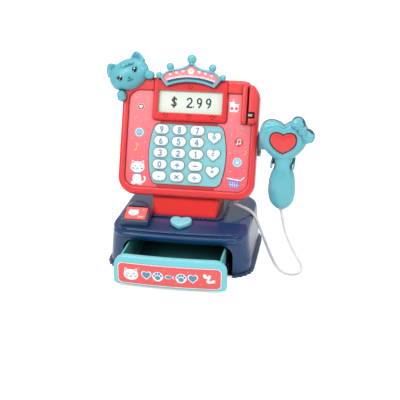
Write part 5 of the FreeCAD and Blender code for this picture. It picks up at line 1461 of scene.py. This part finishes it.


# ---------------------------------------------------------------- springs
def drawer_coil():
    radius, turns, start_y, length = 5.2, 8.9, 30.2, 53.3
    a = np.linspace(0, TAU * turns, 8 * 24)
    path = np.c_[radius * np.cos(a), start_y + length * a / a[-1], 18.0 + radius * np.sin(a)]
    obj = make("drawer_coil", tube(path, 0.5, 10), STEEL, None, replaces=("drawer_spring",))
    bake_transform(obj)


def latch_leaf():
    """Arched strip of spring steel."""
    half_width, thickness = 2.6, 0.32
    arch = 45.9 + 2.85 * np.sin(np.linspace(0, math.pi, 25))
    rings = [np.array([(-half_width, y, z), (half_width, y, z), (half_width, y, z + thickness),
                       (-half_width, y, z + thickness)])
             for y, z in zip(np.linspace(44.2, 61.8, 25), arch)]
    obj = make("latch_leaf", bridge(rings), STEEL, None, replaces=("latch_spring",))
    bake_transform(obj)


# ---------------------------------------------------------------- stage, light, camera (metres)
def build_floor():
    half = 6000      # mm
    corners = [(-half, -half, 0), (half, -half, 0), (half, half, 0), (-half, half, 0)]
    make("floor", (corners, [(0, 1, 2, 3)]), floor_ink(), None)


def build_world():
    """Grey-white surround, brighter upwards and towards the back."""
    world = bpy.data.worlds.new("studio")
    bpy.context.scene.world = world
    world.use_nodes = True
    tree = world.node_tree
    direction = add_node(tree, "TexCoord").outputs["Generated"]
    axes = add_node(tree, "SeparateXYZ", {0: direction}).outputs
    upward = ramp(tree, axes[2], span=(0.0, 0.85), to=(0.42, 1.0))
    backward = ramp(tree, axes[1], span=(0.1, 0.85), to=(1.0, 1.75))
    glow = multiply(tree, upward, backward)
    fill(tree, tree.nodes["Background"], {
        "Color": mix(tree, glow, (0, 0, 0, 1), (1.0, 1.0, 1.0, 1)),
        "Strength": 0.58})


def area_light(name, location, size, power, target=(0.03, 0.0, 0.11)):
    light = bpy.data.lights.new(name, 'AREA')
    light.shape = 'RECTANGLE'
    light.size, light.size_y = size
    light.energy = power
    obj = bpy.data.objects.new(name, light)
    bpy.context.scene.collection.objects.link(obj)
    obj.location = location
    aim = Vector(target) - Vector(location)
    obj.rotation_euler = aim.to_track_quat('-Z', 'Y').to_euler()


def build_lights():
    area_light("key", location=(-0.75, -0.95, 0.95), size=(0.7, 0.7), power=6.4)
    area_light("fill", location=(0.95, -0.75, 0.60), size=(0.35, 1.0), power=2.6)
    area_light("top", location=(0.05, 0.05, 1.25), size=(1.3, 0.24), power=5.0)
    area_light("strip", location=(-0.25, -1.0, 1.12), size=(1.1, 0.035), power=3.6)
    area_light("side", location=(1.15, 0.55, 0.75), size=(0.5, 0.5), power=2.4,
               target=(0.05, 0.03, 0.05))


CAMERA_PLACE = (0.1759, -0.9392, 0.4367)
CAMERA_HEADING, CAMERA_DIP, CAMERA_ROLL = rad(11.157), rad(20.351), rad(-0.272)
# The aim is then moved right and down by these slopes
AIM_RIGHT, AIM_DOWN = 0.026633514, 0.0084992947


def build_camera():
    sin_h, cos_h = math.sin(CAMERA_HEADING), math.cos(CAMERA_HEADING)
    sin_d, cos_d = math.sin(CAMERA_DIP), math.cos(CAMERA_DIP)
    sin_r, cos_r = math.sin(CAMERA_ROLL), math.cos(CAMERA_ROLL)
    right = Vector((cos_h, sin_h, 0))
    up = Vector((-sin_h * sin_d, cos_h * sin_d, cos_d))
    forward = Vector((-sin_h * cos_d, cos_h * cos_d, -sin_d))
    right, up = right * cos_r + up * sin_r, up * cos_r - right * sin_r
    forward = (forward + right * AIM_RIGHT - up * AIM_DOWN).normalized()
    right = (right - forward * right.dot(forward)).normalized()
    up = right.cross(forward)
    camera = bpy.data.cameras.new("cam")
    camera.sensor_width = 36.0
    camera.lens = 75.2886
    camera.clip_start, camera.clip_end = 0.05, 30.0
    obj = bpy.data.objects.new("cam", camera)
    bpy.context.scene.collection.objects.link(obj)
    turned = Matrix((right, up, -forward)).transposed().to_4x4()
    obj.matrix_world = Matrix.Translation(CAMERA_PLACE) @ turned
    bpy.context.scene.camera = obj
    bpy.context.scene.view_settings.view_transform = 'Standard'


# ---------------------------------------------------------------- build
paint_cad()
number_keys()
heart_keys()
display_digits()
card_channel()
face_prints()
drawer_label()
pad_prints()
base_trim()
release_heart()
crown_body(crown_outline())
crown_prints()
kitten_body()
kitten_features()
scanner_shell()
scanner_trigger()
scanner_bow()
cable()
drawer_coil()
latch_leaf()
build_floor()
build_world()
build_lights()
build_camera()
